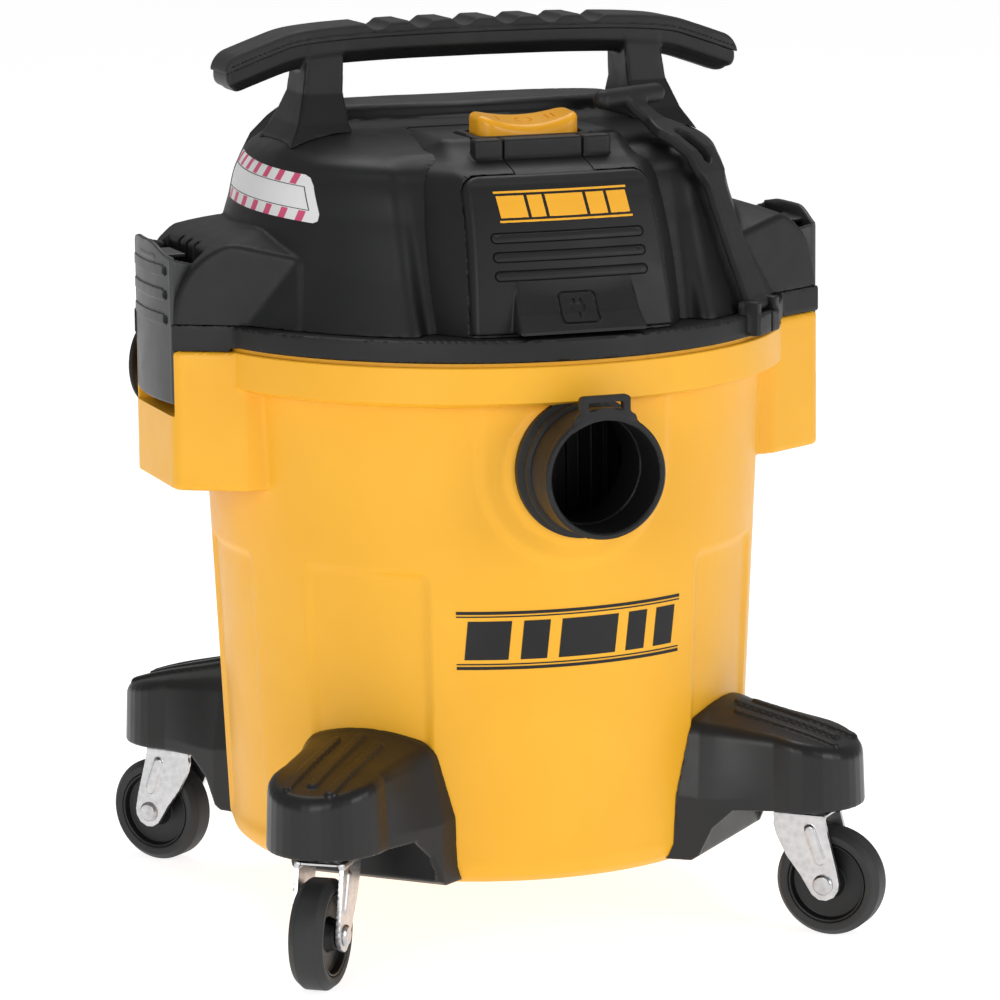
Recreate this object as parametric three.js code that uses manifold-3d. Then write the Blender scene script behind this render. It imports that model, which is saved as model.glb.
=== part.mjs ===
// Wet and dry shop vacuum: a tapered drum on four caster feet, with a lift-off motor head held by two
// side latches. Millimetres, +Z up, origin on the floor under the drum's axis. The hose port faces -Y.
import * as THREE from 'three';
import { mergeVertices } from 'three/addons/utils/BufferGeometryUtils.js';
import Module from 'manifold-3d';

const wasm = await Module();
wasm.setup();

// Driving dimensions
const GAP = 0.3;                 // clearance between pieces that touch
const WALL = 3;                  // moulded wall thickness
const DRUM_BOTTOM = 41.6;
const DRUM_BOTTOM_R = 133;
const DRUM_WALL_LOW = { r: 144.5, z: 53 };
const DRUM_WALL_TOP = { r: 155.5, z: 299 };
const BAND = { r: 167.9, low: 309, top: 330.7 };
const PORT = { z: 273.2, outer: 33.6, bore: 30.2, face: 195.5 };
const DECK = { r: 168.5, low: 331.2, top: 343.2 };
const BOSS = { face: 189.3, half: 37, low: 252.7, top: 328.8, slotFloor: 293, slotHalf: 35.4 };
const LATCH = {
  half: 34.7, edgeX: 189.2, bulge: 3.6, thick: 2.6, low: 299.5, top: 385.8, pinX: 181, pinZ: 307, pinR: 2.5,
  pinEnd: 36.4,
};
const ROOF = 442;
const HANDLE = { half: 152, top: 500, split: 492, low: 481.5, depth: 33, drop: 18, postX: 93 };
const HINGE = { y: -99, z: 437, r: 5.6, middle: 22.3, end: 39, pinR: 2 };
const SWITCH = { y: -73, halfX: 29, halfY: 13.5, bezelTop: 443.5 };
const BLOWER = { z: 381 };
const CASTER = { r: 194.9, trail: 15.6, wheel: 29.9, width: 19, plateLow: 66.7, plateTop: 68.5, stemStep: 71.7 };
const CASTER_TURN = { front_left: -126, front_right: -44, rear_right: 50, rear_left: 129 };
const FOOT_ANGLE = { front_left: -135, front_right: -45, rear_right: 45, rear_left: 135 };
const FOOT = { tipR: 33, low: 73.5, tipTop: 105, wallTop: 129 };
const PORT_ROUND = 24;
const ROUND = 36;                // sides of the large turned shapes
const PEG = { rho: 212, z: 294.6, flange: 24.5, stem: 9 };
const LUG = {
  r: 166, z: 347.6, half: 9.6, width: 5, low: 332, foot: 343, inner: 161.5, outer: 173.5, top: 351,
  pinR: 1.7,
};
const SOCKET = { y: -126.5, z: 386, lean: 18 };
const BAY = { half: 78, y: -127.5, lean: 19.2 };
const SWEEP = 25.2;              // how far the cover's top edge stays from its hinge's axis
const MOTOR = { bore: 28, outer: 46, low: 346, top: 402, shaft: 4 };
const IMPELLER = { r: 64, low: 319.5, top: 330 };
const CAGE = { outer: 58, inner: 55.5, low: 206, top: 309 };
const FILTER = { inner: 59, outer: 84, low: 204, top: 308 };

// Plan half widths of the tower at each height, as [z, value]: to the sides, the front and the rear, with
// the power of its rounded plan; then the bulge in its front, and the inner face of a strap as [radius, z].
const TOWER_SIDE = [[343.5, 160], [370, 149], [400, 142], [421, 140], [433, 132], [ROOF, 108]];
const TOWER_FRONT = [[343.5, 160], [370, 148], [400, 136], [421, 123], [433, 100], [ROOF, 34]];
const TOWER_REAR = [[343.5, 160], [370, 148], [400, 136], [421, 125], [433, 106], [ROOF, 80]];
const TOWER_POWER = [[343.5, 2], [400, 2], [421, 2.1], [433, 2.4], [ROOF, 2.6]];
const BULGE_FRONT = [[343.5, 153.5], [365, 149], [385, 143.5], [400, 138], [412, 132.5], [421, 127],
  [427, 119], [431, 106], [436, 96], [ROOF, 88]];
const BULGE_SIDE = [[343.5, 76], [365, 73], [385, 71], [400, 70], [412, 68.5], [421, 67.5],
  [427, 65], [431, 62], [436, 58], [ROOF, 50]];
const BULGE_MIDDLE = -50;
const STRAP_LINE = [[LUG.r, LUG.z], [160.5, 362], [152.5, 382], [145, 402], [139.5, 418], [133, 429],
  [122.5, 436.5], [107, 443], [97, 451], [91, 458]];

// Materials
const finish = (color, roughness, metalness = 0) =>
  new THREE.MeshStandardMaterial({ color, roughness, metalness });
const YELLOW = () => finish(0xf4a81c, 0.45);
const BLACK = () => finish(0x2a2b2b, 0.6);
const GREY = () => finish(0x3f4244, 0.55);
const SOFT = () => finish(0x333636, 0.85);
const ZINC = () => finish(0xc4c6c8, 0.35, 0.9);
const STEEL = () => finish(0x8d9093, 0.4, 0.9);
const COPPER = () => finish(0x9a5b35, 0.45, 0.6);
const PAPER = () => finish(0xd9d4c4, 0.9);

const vacuum = new THREE.Group();
vacuum.name = 'shop_vacuum';

// ---- Solid modelling helpers ----

function solid(geometry) {
  const bare = geometry.clone();
  bare.deleteAttribute('normal');
  bare.deleteAttribute('uv');
  const merged = mergeVertices(bare, 1e-4);
  return new wasm.Manifold(new wasm.Mesh({
    numProp: 3,
    vertProperties: new Float32Array(merged.attributes.position.array),
    triVerts: new Uint32Array(merged.index.array),
  }));
}

function geometryOf(body) {
  const mesh = body.getMesh();
  const geometry = new THREE.BufferGeometry();
  geometry.setAttribute('position', new THREE.BufferAttribute(mesh.vertProperties, 3));
  geometry.setIndex(new THREE.BufferAttribute(mesh.triVerts, 1));
  geometry.computeVertexNormals();
  return geometry;
}

function add(name, body, material, parent = vacuum) {
  const geometry = body instanceof THREE.BufferGeometry ? body : geometryOf(body);
  const mesh = new THREE.Mesh(geometry, material);
  mesh.name = name;
  parent.add(mesh);
  return mesh;
}

const join = (first, ...others) => others.reduce((sum, body) => sum.add(body), first);
const cut = (first, ...others) => others.reduce((rest, body) => rest.subtract(body), first);

function box(x0, x1, y0, y1, z0, z1) {
  const geometry = new THREE.BoxGeometry(x1 - x0, y1 - y0, z1 - z0);
  return solid(geometry.translate((x0 + x1) / 2, (y0 + y1) / 2, (z0 + z1) / 2));
}

// A lathe about +Z from [radius, z] pairs that start and end on the axis, or close on themselves.
function lathe(profile, segments = 48) {
  const points = profile.map(([r, z]) => new THREE.Vector2(r, z));
  const geometry = new THREE.LatheGeometry(points, segments).rotateX(Math.PI / 2);
  const body = solid(geometry);
  return body.volume() < 0 ? solid(flipped(geometry)) : body;
}

function flipped(geometry) {
  const copy = geometry.clone();
  const index = copy.index.array;
  for (let i = 0; i < index.length; i += 3) {
    [index[i], index[i + 1]] = [index[i + 1], index[i]];
  }
  return copy;
}

const ring = (inner, outer, z0, z1, segments) =>
  lathe([[inner, z0], [outer, z0], [outer, z1], [inner, z1], [inner, z0]], segments);

const disc = (radius, z0, z1, segments) =>
  lathe([[0, z0], [radius, z0], [radius, z1], [0, z1]], segments);

// A flat outline in [a, b] pairs, or a ready Shape.
const outline = (points) => new THREE.Shape(points.map(([a, b]) => new THREE.Vector2(a, b)));

function extrudeZ(shape, z0, z1, curveSegments = 6) {
  const geometry = new THREE.ExtrudeGeometry(shape, { depth: z1 - z0, bevelEnabled: false, curveSegments });
  return solid(geometry.translate(0, 0, z0));
}

// The outline's [a, b] become x and z, and it runs along y.
function extrudeY(shape, y0, y1, curveSegments = 6) {
  const geometry = new THREE.ExtrudeGeometry(shape, { depth: y1 - y0, bevelEnabled: false, curveSegments });
  return solid(geometry.rotateX(Math.PI / 2).translate(0, y1, 0));
}

// The outline's [a, b] become y and z, and it runs along x.
function extrudeX(shape, x0, x1, curveSegments = 6) {
  const geometry = new THREE.ExtrudeGeometry(shape, { depth: x1 - x0, bevelEnabled: false, curveSegments });
  return solid(geometry.rotateY(Math.PI / 2).rotateX(Math.PI / 2).translate(x0, 0, 0));
}

const alongY = (body, x, z) => body.rotate([-90, 0, 0]).translate([x, 0, z]);
const alongX = (body, y, z) => body.rotate([0, 90, 0]).translate([0, y, z]);

// A loft between plan sections: section(level) gives the point at an angle on each of the levels.
function loft(levels, section, segments = 48) {
  const low = levels[0];
  const high = levels[levels.length - 1];
  const geometry = new THREE.CylinderGeometry(1, 1, high - low, segments, levels.length - 1);
  geometry.rotateX(Math.PI / 2);
  const position = geometry.attributes.position;
  const step = (high - low) / (levels.length - 1);
  for (let i = 0; i < position.count; i += 1) {
    const x = position.getX(i);
    const y = position.getY(i);
    const row = Math.round((position.getZ(i) + (high - low) / 2) / step);
    const turn = Math.round((Math.atan2(y, x) * segments) / (2 * Math.PI));
    const reach = Math.hypot(x, y) > 0.5;
    const [px, py] = section(levels[row], (turn * 2 * Math.PI) / segments);
    const [rightX, rightY] = section(levels[row], 0);
    const [leftX, leftY] = section(levels[row], Math.PI);
    position.setXYZ(i, reach ? px : (rightX + leftX) / 2, reach ? py : (rightY + leftY) / 2, levels[row]);
  }
  return solid(geometry);
}

// Reads a table of [z, value] rows at any height.
function between(table, z) {
  const next = table.findIndex((row) => row[0] >= z);
  if (next <= 0) return table[next < 0 ? table.length - 1 : 0][1];
  const [z0, v0] = table[next - 1];
  const [z1, v1] = table[next];
  return v0 + ((v1 - v0) * (z - z0)) / (z1 - z0);
}

function superellipse(a, b, power, angle) {
  const tidy = (value) => (Math.abs(value) < 1e-5 ? 0 : value);
  const c = tidy(Math.cos(angle));
  const s = tidy(Math.sin(angle));
  return [
    Math.sign(c) * a * Math.abs(c) ** (2 / power),
    Math.sign(s) * b * Math.abs(s) ** (2 / power),
  ];
}

// ---- Drum ----

function drumOuter(grow = 0) {
  return lathe([
    [0, DRUM_BOTTOM - grow],
    [DRUM_BOTTOM_R, DRUM_BOTTOM - grow],
    [DRUM_BOTTOM_R + 8 + grow * 0.7, DRUM_BOTTOM + 3.4 - grow * 0.7],
    [DRUM_WALL_LOW.r + grow, DRUM_WALL_LOW.z],
    [DRUM_WALL_TOP.r + grow, DRUM_WALL_TOP.z],
    [BAND.r + grow, BAND.low],
    [BAND.r + grow, BAND.top],
    [0, BAND.top],
  ], ROUND);
}

function drumInner() {
  return lathe([
    [0, DRUM_BOTTOM + WALL],
    [DRUM_BOTTOM_R - 1, DRUM_BOTTOM + WALL],
    [DRUM_WALL_LOW.r - WALL, DRUM_WALL_LOW.z + 1],
    [DRUM_WALL_TOP.r - WALL, DRUM_WALL_TOP.z + 1],
    [BAND.r - WALL, BAND.low + 2],
    [BAND.r - WALL, BAND.top + 5],
    [0, BAND.top + 5],
  ], ROUND);
}

// Plan outline of the block that carries a latch, on the +X side.
function bossOutline(inset = 0) {
  const face = BOSS.face - inset;
  const half = BOSS.half - inset * 0.6;
  return outline([[138, -58 + inset], [154, -57 + inset], [face, -half], [face, half],
    [154, 57 - inset], [138, 58 - inset]]);
}

const mirrorX = (body) => body.mirror([1, 0, 0]);

function latchBoss() {
  const block = extrudeZ(bossOutline(), BOSS.low, BOSS.top);
  const hollow = extrudeZ(bossOutline(WALL), BOSS.low - 5, BOSS.slotFloor - WALL);
  const slot = box(171, 200, -BOSS.slotHalf, BOSS.slotHalf, BOSS.slotFloor, BOSS.top + 5);
  const pinHole = alongY(disc(LATCH.pinR + GAP, -LATCH.pinEnd - GAP, LATCH.pinEnd + GAP, 12), LATCH.pinX, LATCH.pinZ);
  return cut(block, hollow, slot, pinHole);
}

function drum() {
  const boss = latchBoss();
  const portHole = alongY(disc(PORT.outer + GAP, -170, -120, PORT_ROUND), 0, PORT.z);
  const shell = cut(join(drumOuter(), boss, mirrorX(boss)), drumInner(), portHole);
  add('drum', shell, YELLOW());
}

// ---- Hose port and its inner deflector ----

function hosePort(y) {
  // The tube runs along y from the drum's inside to the port's face; the profile's axis is z before turning.
  const tube = lathe([
    [PORT.bore, 0], [PORT.outer, 0], [PORT.outer, 6], [PORT.outer - 1.6, 7],
    [PORT.outer - 1.6, 25], [PORT.outer + 5, 26], [PORT.outer + 5, 30],
    [PORT.outer, 52], [PORT.bore, 52], [PORT.bore, 0],
  ], PORT_ROUND);
  return alongY(tube, 0, PORT.z).translate([0, y, 0]);
}

function inletPort() {
  const loopOuter = box(-14, 14, -PORT.face + 1, -PORT.face + 5, PORT.z + 30, PORT.z + 43);
  const loopHole = box(-9.5, 9.5, -PORT.face - 1, -PORT.face + 7, PORT.z + 35, PORT.z + 40.4);
  const bore = alongY(disc(PORT.bore, -220, -120, PORT_ROUND), 0, PORT.z);
  const collarCut = drumOuter(GAP);
  const innerTrim = lathe([[0, 200], [139.5, 200], [142.5, 340], [0, 340]], ROUND);
  const tube = cut(hosePort(-PORT.face), collarCut);
  const neck = cut(
    alongY(ring(PORT.bore, PORT.outer, -175, -140, PORT_ROUND), 0, PORT.z), innerTrim);
  const loop = cut(loopOuter, loopHole, bore);
  add('inlet_port', join(tube, neck, loop), BLACK());
}

function inletDeflector() {
  // A curved shield inside the drum that turns the air down and sideways, clear of the port's mouth.
  const shield = ring(112, 115, PORT.z - 44, PORT.z + 34, ROUND);
  const window = box(-46, 46, -130, -90, PORT.z - 50, PORT.z + 40);
  const roof = ring(112, 146, PORT.z + 34, PORT.z + 37, ROUND)
    .intersect(box(-46, 46, -160, -100, PORT.z, PORT.z + 50));
  add('inlet_deflector', join(shield.intersect(window), roof), BLACK());
}

// ---- Feet and casters ----

// Local frame of a foot: u runs outward along the diagonal, v across it.
function footPlan(inset = 0) {
  const tip = FOOT.tipR - inset;
  const shape = new THREE.Shape();
  const wide = 52 - inset;
  shape.moveTo(112 + inset, -wide);
  shape.lineTo(150, -wide + 6);
  shape.lineTo(CASTER.r - 6, -tip);
  shape.absarc(CASTER.r, 0, tip, -Math.PI / 2 + 0.18, Math.PI / 2 - 0.18, false);
  shape.lineTo(CASTER.r - 6, tip);
  shape.lineTo(150, wide - 6);
  shape.lineTo(112 + inset, wide);
  return shape;
}

function footSide() {
  return outline([
    [108, DRUM_BOTTOM], [146, DRUM_BOTTOM], [157, 58], [168, FOOT.low], [236, FOOT.low],
    [236, FOOT.tipTop - 8], [226, FOOT.tipTop], [146, FOOT.wallTop], [108, FOOT.wallTop],
  ]);
}

function footHollow() {
  const side = outline([[120, 20], [236, 20], [236, FOOT.tipTop - 14], [226, FOOT.tipTop - 5],
    [150, FOOT.wallTop - 8], [120, FOOT.wallTop - 8]]);
  return extrudeZ(footPlan(3.5), 20, 140, 5).intersect(extrudeY(side, -80, 80));
}

function foot(name, angle) {
  const block = extrudeZ(footPlan(), 20, 140, 6).intersect(extrudeY(footSide(), -80, 80));
  const socket = ring(6, 11, FOOT.low + 2.6, FOOT.tipTop - 3, 12).translate([CASTER.r, 0, 0]);
  const web = box(151, CASTER.r - 9, -1.5, 1.5, FOOT.low + 4, FOOT.tipTop + 14).intersect(block);
  const drumTurned = drumOuter(GAP + 0.2).rotate([0, 0, -angle]);
  const body = cut(join(cut(block, footHollow()), socket, web), drumTurned);
  add(name, body.rotate([0, 0, angle]), BLACK());
}

function caster(corner) {
  const angle = THREE.MathUtils.degToRad(FOOT_ANGLE[corner]);
  const place = new THREE.Group();
  place.position.set(CASTER.r * Math.cos(angle), CASTER.r * Math.sin(angle), 0);
  place.rotation.z = THREE.MathUtils.degToRad(CASTER_TURN[corner]);
  vacuum.add(place);
  add(`caster_stem_${corner}`, casterStem(), STEEL(), place);
  add(`caster_fork_${corner}`, casterFork(), ZINC(), place);
  const onAxle = (body) => body.rotate([90, 0, 0]).translate([CASTER.trail, 0, CASTER.wheel]);
  add(`caster_axle_${corner}`, onAxle(casterAxle()), STEEL(), place);
  add(`caster_hub_${corner}`, onAxle(casterHub()), BLACK(), place);
  add(`caster_tyre_${corner}`, onAxle(casterTyre()), SOFT(), place);
}

function casterStem() {
  return lathe([[0, CASTER.plateTop + GAP], [8.5, CASTER.plateTop + GAP], [8.5, CASTER.stemStep], [5.6, CASTER.stemStep],
    [5.6, 90], [0, 90]], 10);
}

// Legs in the fork's own plane: x is the trail direction, the axle runs along y.
function casterFork() {
  const leg = new THREE.Shape();
  const end = 9.5;
  leg.moveTo(-14, CASTER.plateTop);
  leg.lineTo(-14, CASTER.plateLow - 4);
  leg.quadraticCurveTo(-5, 40, CASTER.trail - end * 0.86, CASTER.wheel - end * 0.5);
  leg.absarc(CASTER.trail, CASTER.wheel, end, Math.PI * 1.16, Math.PI * 2.02, false);
  leg.lineTo(16, CASTER.plateTop);
  const outer = CASTER.width / 2 + 4;
  const hole = alongY(disc(3.4, -outer - 2, outer + 2, 10), CASTER.trail, CASTER.wheel);
  const legs = [-outer, outer - 2].map((y) => cut(extrudeY(leg, y, y + 2, 3), hole));
  const plate = box(-14, 16, -outer, outer, CASTER.plateLow, CASTER.plateTop);
  return join(plate, ...legs);
}

function casterAxle() {
  const leg = CASTER.width / 2 + 4;
  const head = leg + 2;
  return lathe([[0, -head], [6, -head], [6, -leg - GAP], [3, -leg - GAP], [3, leg + GAP], [6, leg + GAP],
    [6, head], [0, head]], 10);
}

function casterHub() {
  const half = CASTER.width / 2 + 0.6;
  return lathe([[3.4, -half], [8, -half], [9, -5], [22, -8], [22, 8], [9, 5],
    [8, half], [3.4, half], [3.4, -half]], 12);
}

function casterTyre() {
  const half = CASTER.width / 2;
  const r = CASTER.wheel;
  return lathe([[22.4, -half + 0.5], [r - 3.5, -half], [r, -4], [r, 4],
    [r - 3.5, half], [22.4, half - 0.5], [22.4, -half + 0.5]], 20);
}

// ---- Latches ----

function latchPlate() {
  const shape = new THREE.Shape();
  const h = LATCH.half;
  const edge = LATCH.edgeX;
  const inner = edge - LATCH.thick;
  shape.moveTo(edge - 13, -h);
  shape.lineTo(edge, -h);
  shape.quadraticCurveTo(edge + 2 * LATCH.bulge, 0, edge, h);
  shape.lineTo(edge - 13, h);
  shape.lineTo(edge - 13, h - LATCH.thick);
  shape.lineTo(inner, h - LATCH.thick);
  shape.quadraticCurveTo(inner + 2 * LATCH.bulge, 0, inner, -h + LATCH.thick);
  shape.lineTo(edge - 13, -h + LATCH.thick);
  return extrudeZ(shape, LATCH.low, LATCH.top, 6);
}

function latch(name, side) {
  const curl = box(173.5, LATCH.edgeX + 1.4, -14, 14, LATCH.top - 5, LATCH.top);
  const hole = alongY(disc(LATCH.pinR + GAP, -50, 50, 12), LATCH.pinX, LATCH.pinZ);
  const heel = box(176.5, 184, -LATCH.half, LATCH.half, LATCH.low, LATCH.low + 2)
    .add(alongY(ring(LATCH.pinR + GAP, 5.6, -12, 12, 12), LATCH.pinX, LATCH.pinZ));
  const plate = cut(join(latchPlate(), heel, curl), hole);
  add(name, side > 0 ? plate : mirrorX(plate), GREY());
}

function latchPin(name, side) {
  const pin = alongY(disc(LATCH.pinR, -LATCH.pinEnd, LATCH.pinEnd, 12), LATCH.pinX, LATCH.pinZ);
  add(name, side > 0 ? pin : mirrorX(pin), STEEL());
}

// ---- Cord pegs ----

function cordPeg(name, angle) {
  const base = 153;
  const root = PEG.stem + 5;
  const peg = lathe([[0, base - 6], [root, base - 6], [root, base + 8], [PEG.stem, base + 12],
    [PEG.stem, PEG.rho - 4], [PEG.flange - 1, PEG.rho - 3], [PEG.flange, PEG.rho - 1.5],
    [PEG.flange - 1, PEG.rho], [0, PEG.rho]], 14);
  const placed = peg.rotate([0, 90, 0]).rotate([0, 0, angle]).translate([0, 0, PEG.z]);
  add(name, cut(placed, drumOuter(GAP)), BLACK());
}

// ---- Head: deck and housing ----

function headDeck() {
  const plate = lathe([
    [74, 312], [77, 312], [77, 338], [159, 338], [159, 322], [162, 322], [162, DECK.low],
    [DECK.r, DECK.low], [DECK.r, DECK.top], [74, DECK.top], [74, 312],
  ], ROUND);
  const skirt = cut(extrudeZ(bossOutline(0.6), BOSS.top + GAP, DECK.top),
    disc(169.5, 300, DECK.low, ROUND),
    box(172, 200, -BOSS.slotHalf, BOSS.slotHalf, 300, 350));
  const lug = strapLug();
  add('head_deck', join(plate, skirt, mirrorX(skirt), lug, lug.rotate([0, 0, 180])), BLACK());
}

// The lug stands on the deck's edge at the front right diagonal and carries the strap's pin.
function strapLug() {
  const side = LUG.half + LUG.width;
  const ears = [[-side, -LUG.half], [LUG.half, side]].map(([y0, y1]) =>
    box(LUG.inner, LUG.outer, y0, y1, LUG.low, LUG.top));
  const hole = alongY(disc(LUG.pinR + GAP, -20, 20, 10), LUG.r, LUG.z);
  const block = join(box(LUG.inner + 2, LUG.outer, -side, side, LUG.low, LUG.foot), ...ears);
  return cut(block, hole).rotate([0, 0, -45]);
}

function tower(grow = 0) {
  const levels = TOWER_SIDE.map((row) => row[0]);
  const section = (z, angle) => {
    const depth = Math.sin(angle) < 0 ? TOWER_FRONT : TOWER_REAR;
    const power = between(TOWER_POWER, z);
    return superellipse(between(TOWER_SIDE, z) + grow, between(depth, z) + grow, power, angle);
  };
  const body = loft(levels, section, ROUND);
  return grow > 0 ? body.add(body.translate([0, 0, grow])) : body.translate([0, 0, grow]);
}

// The front bulge that carries the switch and the socket cover.
function bulge(grow = 0) {
  const levels = BULGE_FRONT.map((row) => row[0]);
  const section = (z, angle) => {
    const depth = between(BULGE_FRONT, z) + BULGE_MIDDLE + grow;
    const [x, y] = superellipse(between(BULGE_SIDE, z) + grow, depth, 6, angle);
    const crown = 7 * (x / 76) ** 2;
    return [x, y < 0 ? y + BULGE_MIDDLE + crown : Math.min(y, 20) + BULGE_MIDDLE];
  };
  return loft(levels, section, 28).translate([0, 0, grow < 0 ? grow : 0]);
}

// The bay in the tower's front that the bulge sits in.
function bay(grow = 0) {
  return box(-BAY.half - grow, BAY.half + grow, -80, grow, -30, 115)
    .rotate([-BAY.lean, 0, 0]).translate([0, BAY.y, 343.5]);
}

// The low hump across the roof behind the handle.
function hump(grow = 0) {
  const levels = [425, 440, 447, 450.5];
  const reach = [[425, 1.08], [440, 1], [447, 0.96], [450.5, 0.88]];
  const section = (z, angle) => {
    const scale = between(reach, z);
    const [x, y] = superellipse(106 * scale + grow, 27 * scale + grow, 2.5, angle);
    return [x, y + 46];
  };
  return loft(levels, section, 20).translate([0, 0, grow]);
}

// The two domed wings beside each latch, on the +X side.
function wings() {
  const dome = new THREE.Shape();
  dome.moveTo(130, 343.5);
  dome.lineTo(BOSS.face - 0.8, 343.5);
  dome.bezierCurveTo(BOSS.face - 3, 372, 172, 388, 140, 393);
  dome.lineTo(130, 393);
  const block = extrudeZ(bossOutline(0.6), 343.5, 400).intersect(extrudeY(dome, -70, 70, 8));
  const slot = box(166, 200, -BOSS.slotHalf, BOSS.slotHalf, 340, 400);
  return cut(block, slot);
}

// Where the socket cover lies, as seen from the front, with an optional margin.
function coverRegion(margin = 0) {
  const neck = HINGE.middle + margin;
  const half = [[55 + margin, 345 - margin], [50.5 + margin, 421 + margin],
    [46 + margin * 0.7, 426.8 + margin], [neck, 426.8 + margin], [neck, 434 + margin]];
  const mirrored = half.map(([x, z]) => [-x, z]).reverse();
  return extrudeY(outline([...half, ...mirrored]), -200, HINGE.y + 1 + margin * 4);
}

function hingeKnuckles() {
  const pin = alongX(disc(HINGE.pinR + GAP, -60, 60, 10), HINGE.y, HINGE.z);
  const pair = [-1, 1].map((s) => {
    const [x0, x1] = s > 0 ? [HINGE.middle + 0.6, HINGE.end] : [-HINGE.end, -HINGE.middle - 0.6];
    const barrel = alongX(disc(HINGE.r, x0, x1, 16), HINGE.y, HINGE.z);
    return barrel.add(box(x0, x1, HINGE.y, HINGE.y + 6.5, HINGE.z - 8, HINGE.z + 2));
  });
  return cut(join(...pair), pin);
}

function motorHousing() {
  const wing = wings();
  const skin = join(cut(tower(), bay()), bulge(), hump(), wing, mirrorX(wing), hingeKnuckles());
  const humpRoom = hump(-WALL - 3.2).translate([0, 0, 0.5]);
  const hollow = join(cut(tower(-WALL - 0.6), bay(WALL)), bulge(-WALL - 1), humpRoom);
  const floorOpening = disc(150, 330, 347, ROUND);
  const coverRecess = cut(coverRegion(0.6), bulge(-6.4));
  const below = box(-90, 90, -200, 0, 300, 343.5);
  const recessBack = cut(coverRegion(4).intersect(bulge(-2)), bulge(-9.5), below);
  const socketHole = socketPlaced(disc(24.4, -30, 30, 20));
  const roomHalf = HINGE.middle + 0.6;
  const hingeRoom = alongX(disc(HINGE.r + 1.2, -roomHalf, roomHalf, 20), HINGE.y, HINGE.z);
  const pinHole = alongX(disc(HINGE.pinR + GAP, -37.4, 37.4, 10), HINGE.y, HINGE.z);
  const coverSweep = alongX(ring(SWEEP - 0.6, SWEEP + 5, -52, 52, 40), HINGE.y, HINGE.z)
    .intersect(box(-52, 52, -140, -110, 424, ROOF));
  const switchHole = box(-35 - GAP, 35 + GAP, SWITCH.y - 18 - GAP, SWITCH.y + 18 + GAP, 425, 460);
  const blowerHole = alongY(disc(PORT.outer + GAP, 100, 200, PORT_ROUND), 0, BLOWER.z);
  const glandHole = alongY(disc(9 + GAP, 100, 200, 16), 70, 364);
  const shell = cut(skin, hollow, floorOpening);
  const housing = cut(join(shell, recessBack), coverRecess, coverSweep, socketHole, hingeRoom, pinHole,
    switchHole, blowerHole, glandHole);
  add('motor_housing', housing, BLACK());
}

// ---- Handle ----

// The drop of the handle's centre line towards its ends.
const droop = (x) => HANDLE.drop * (Math.abs(x) / HANDLE.half) ** 4.2;

function handleBand(low, high, half) {
  const count = 20;
  const shape = new THREE.Shape();
  for (let i = 0; i <= count; i += 1) {
    const x = half * (2 * i / count - 1);
    shape[i === 0 ? 'moveTo' : 'lineTo'](x, low - droop(x));
  }
  for (let i = count; i >= 0; i -= 1) {
    const x = half * (2 * i / count - 1);
    shape.lineTo(x, high - droop(x));
  }
  return shape;
}

function handlePost(side) {
  const levels = [425, 446, 462, 486];
  const halfX = [[425, 19], [446, 14], [462, 11], [486, 10]];
  const halfY = [[425, 38], [446, 24], [462, 16], [486, 15]];
  const centre = [[425, 102], [446, 97], [462, 94.5], [486, 92]];
  return loft(levels, (z, angle) => {
    const [x, y] = superellipse(between(halfX, z), between(halfY, z), 8, angle);
    return [side * between(centre, z) + x, y];
  }, 16);
}

function handleFrame() {
  const beam = extrudeY(handleBand(HANDLE.low, HANDLE.split - GAP, HANDLE.half - 3), -14.5, 14.5);
  const posts = [-1, 1].map(handlePost);
  const roof = join(tower(0.4), hump(0.5));
  add('handle_frame', cut(join(beam, ...posts), roof,
    extrudeY(handleBand(HANDLE.split - GAP, HANDLE.top + 9, HANDLE.half), -30, 30)), BLACK());
}

function handleGrip() {
  const side = handleBand(HANDLE.split, HANDLE.top, HANDLE.half);
  const pad = extrudeY(side, -HANDLE.depth / 2, HANDLE.depth / 2);
  const notches = [-62.5, -37.5, -12.5, 12.5, 37.5, 62.5].map((x) =>
    alongY(disc(4, -30, 30, 10), x, HANDLE.top - droop(x) + 2));
  add('handle_grip', cut(pad, ...notches), SOFT());
}

// ---- Switch, socket, cover ----

function switchBezel() {
  const outer = box(-35, 35, SWITCH.y - 18, SWITCH.y + 18, ROOF - 12, SWITCH.bezelTop);
  const hole = box(-31, 31, SWITCH.y - 14.5, SWITCH.y + 14.5, ROOF - 15, ROOF + 9);
  add('switch_bezel', cut(outer, hole), BLACK());
}

function rockerSwitch() {
  const shape = new THREE.Shape();
  const h = SWITCH.halfX;
  const low = ROOF - 8;
  const high = ROOF + 10;
  shape.moveTo(-h, low);
  shape.lineTo(h, low);
  shape.lineTo(h - 1.5, high - 1);
  shape.quadraticCurveTo(h - 2, high, h - 5, high);
  shape.quadraticCurveTo(0, high - 15, -h + 5, high);
  shape.quadraticCurveTo(-h + 2, high, -h + 1.5, high - 1);
  add('rocker_switch', extrudeY(shape, SWITCH.y - SWITCH.halfY, SWITCH.y + SWITCH.halfY, 8), YELLOW());
}

const socketPlaced = (body) =>
  body.rotate([90 - SOCKET.lean, 0, 0]).translate([0, SOCKET.y, SOCKET.z]);

function powerSocket() {
  const body = lathe([[0, -22], [20, -22], [23.6, -8], [23.6, 5], [18.5, 5], [18.5, -9], [0, -9]], 20);
  const pins = [-9.5, 9.5].map((x) => disc(2.6, -19, 0, 8).translate([x, 0, 0]));
  add('power_socket', socketPlaced(cut(body, ...pins)), BLACK());
}

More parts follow.
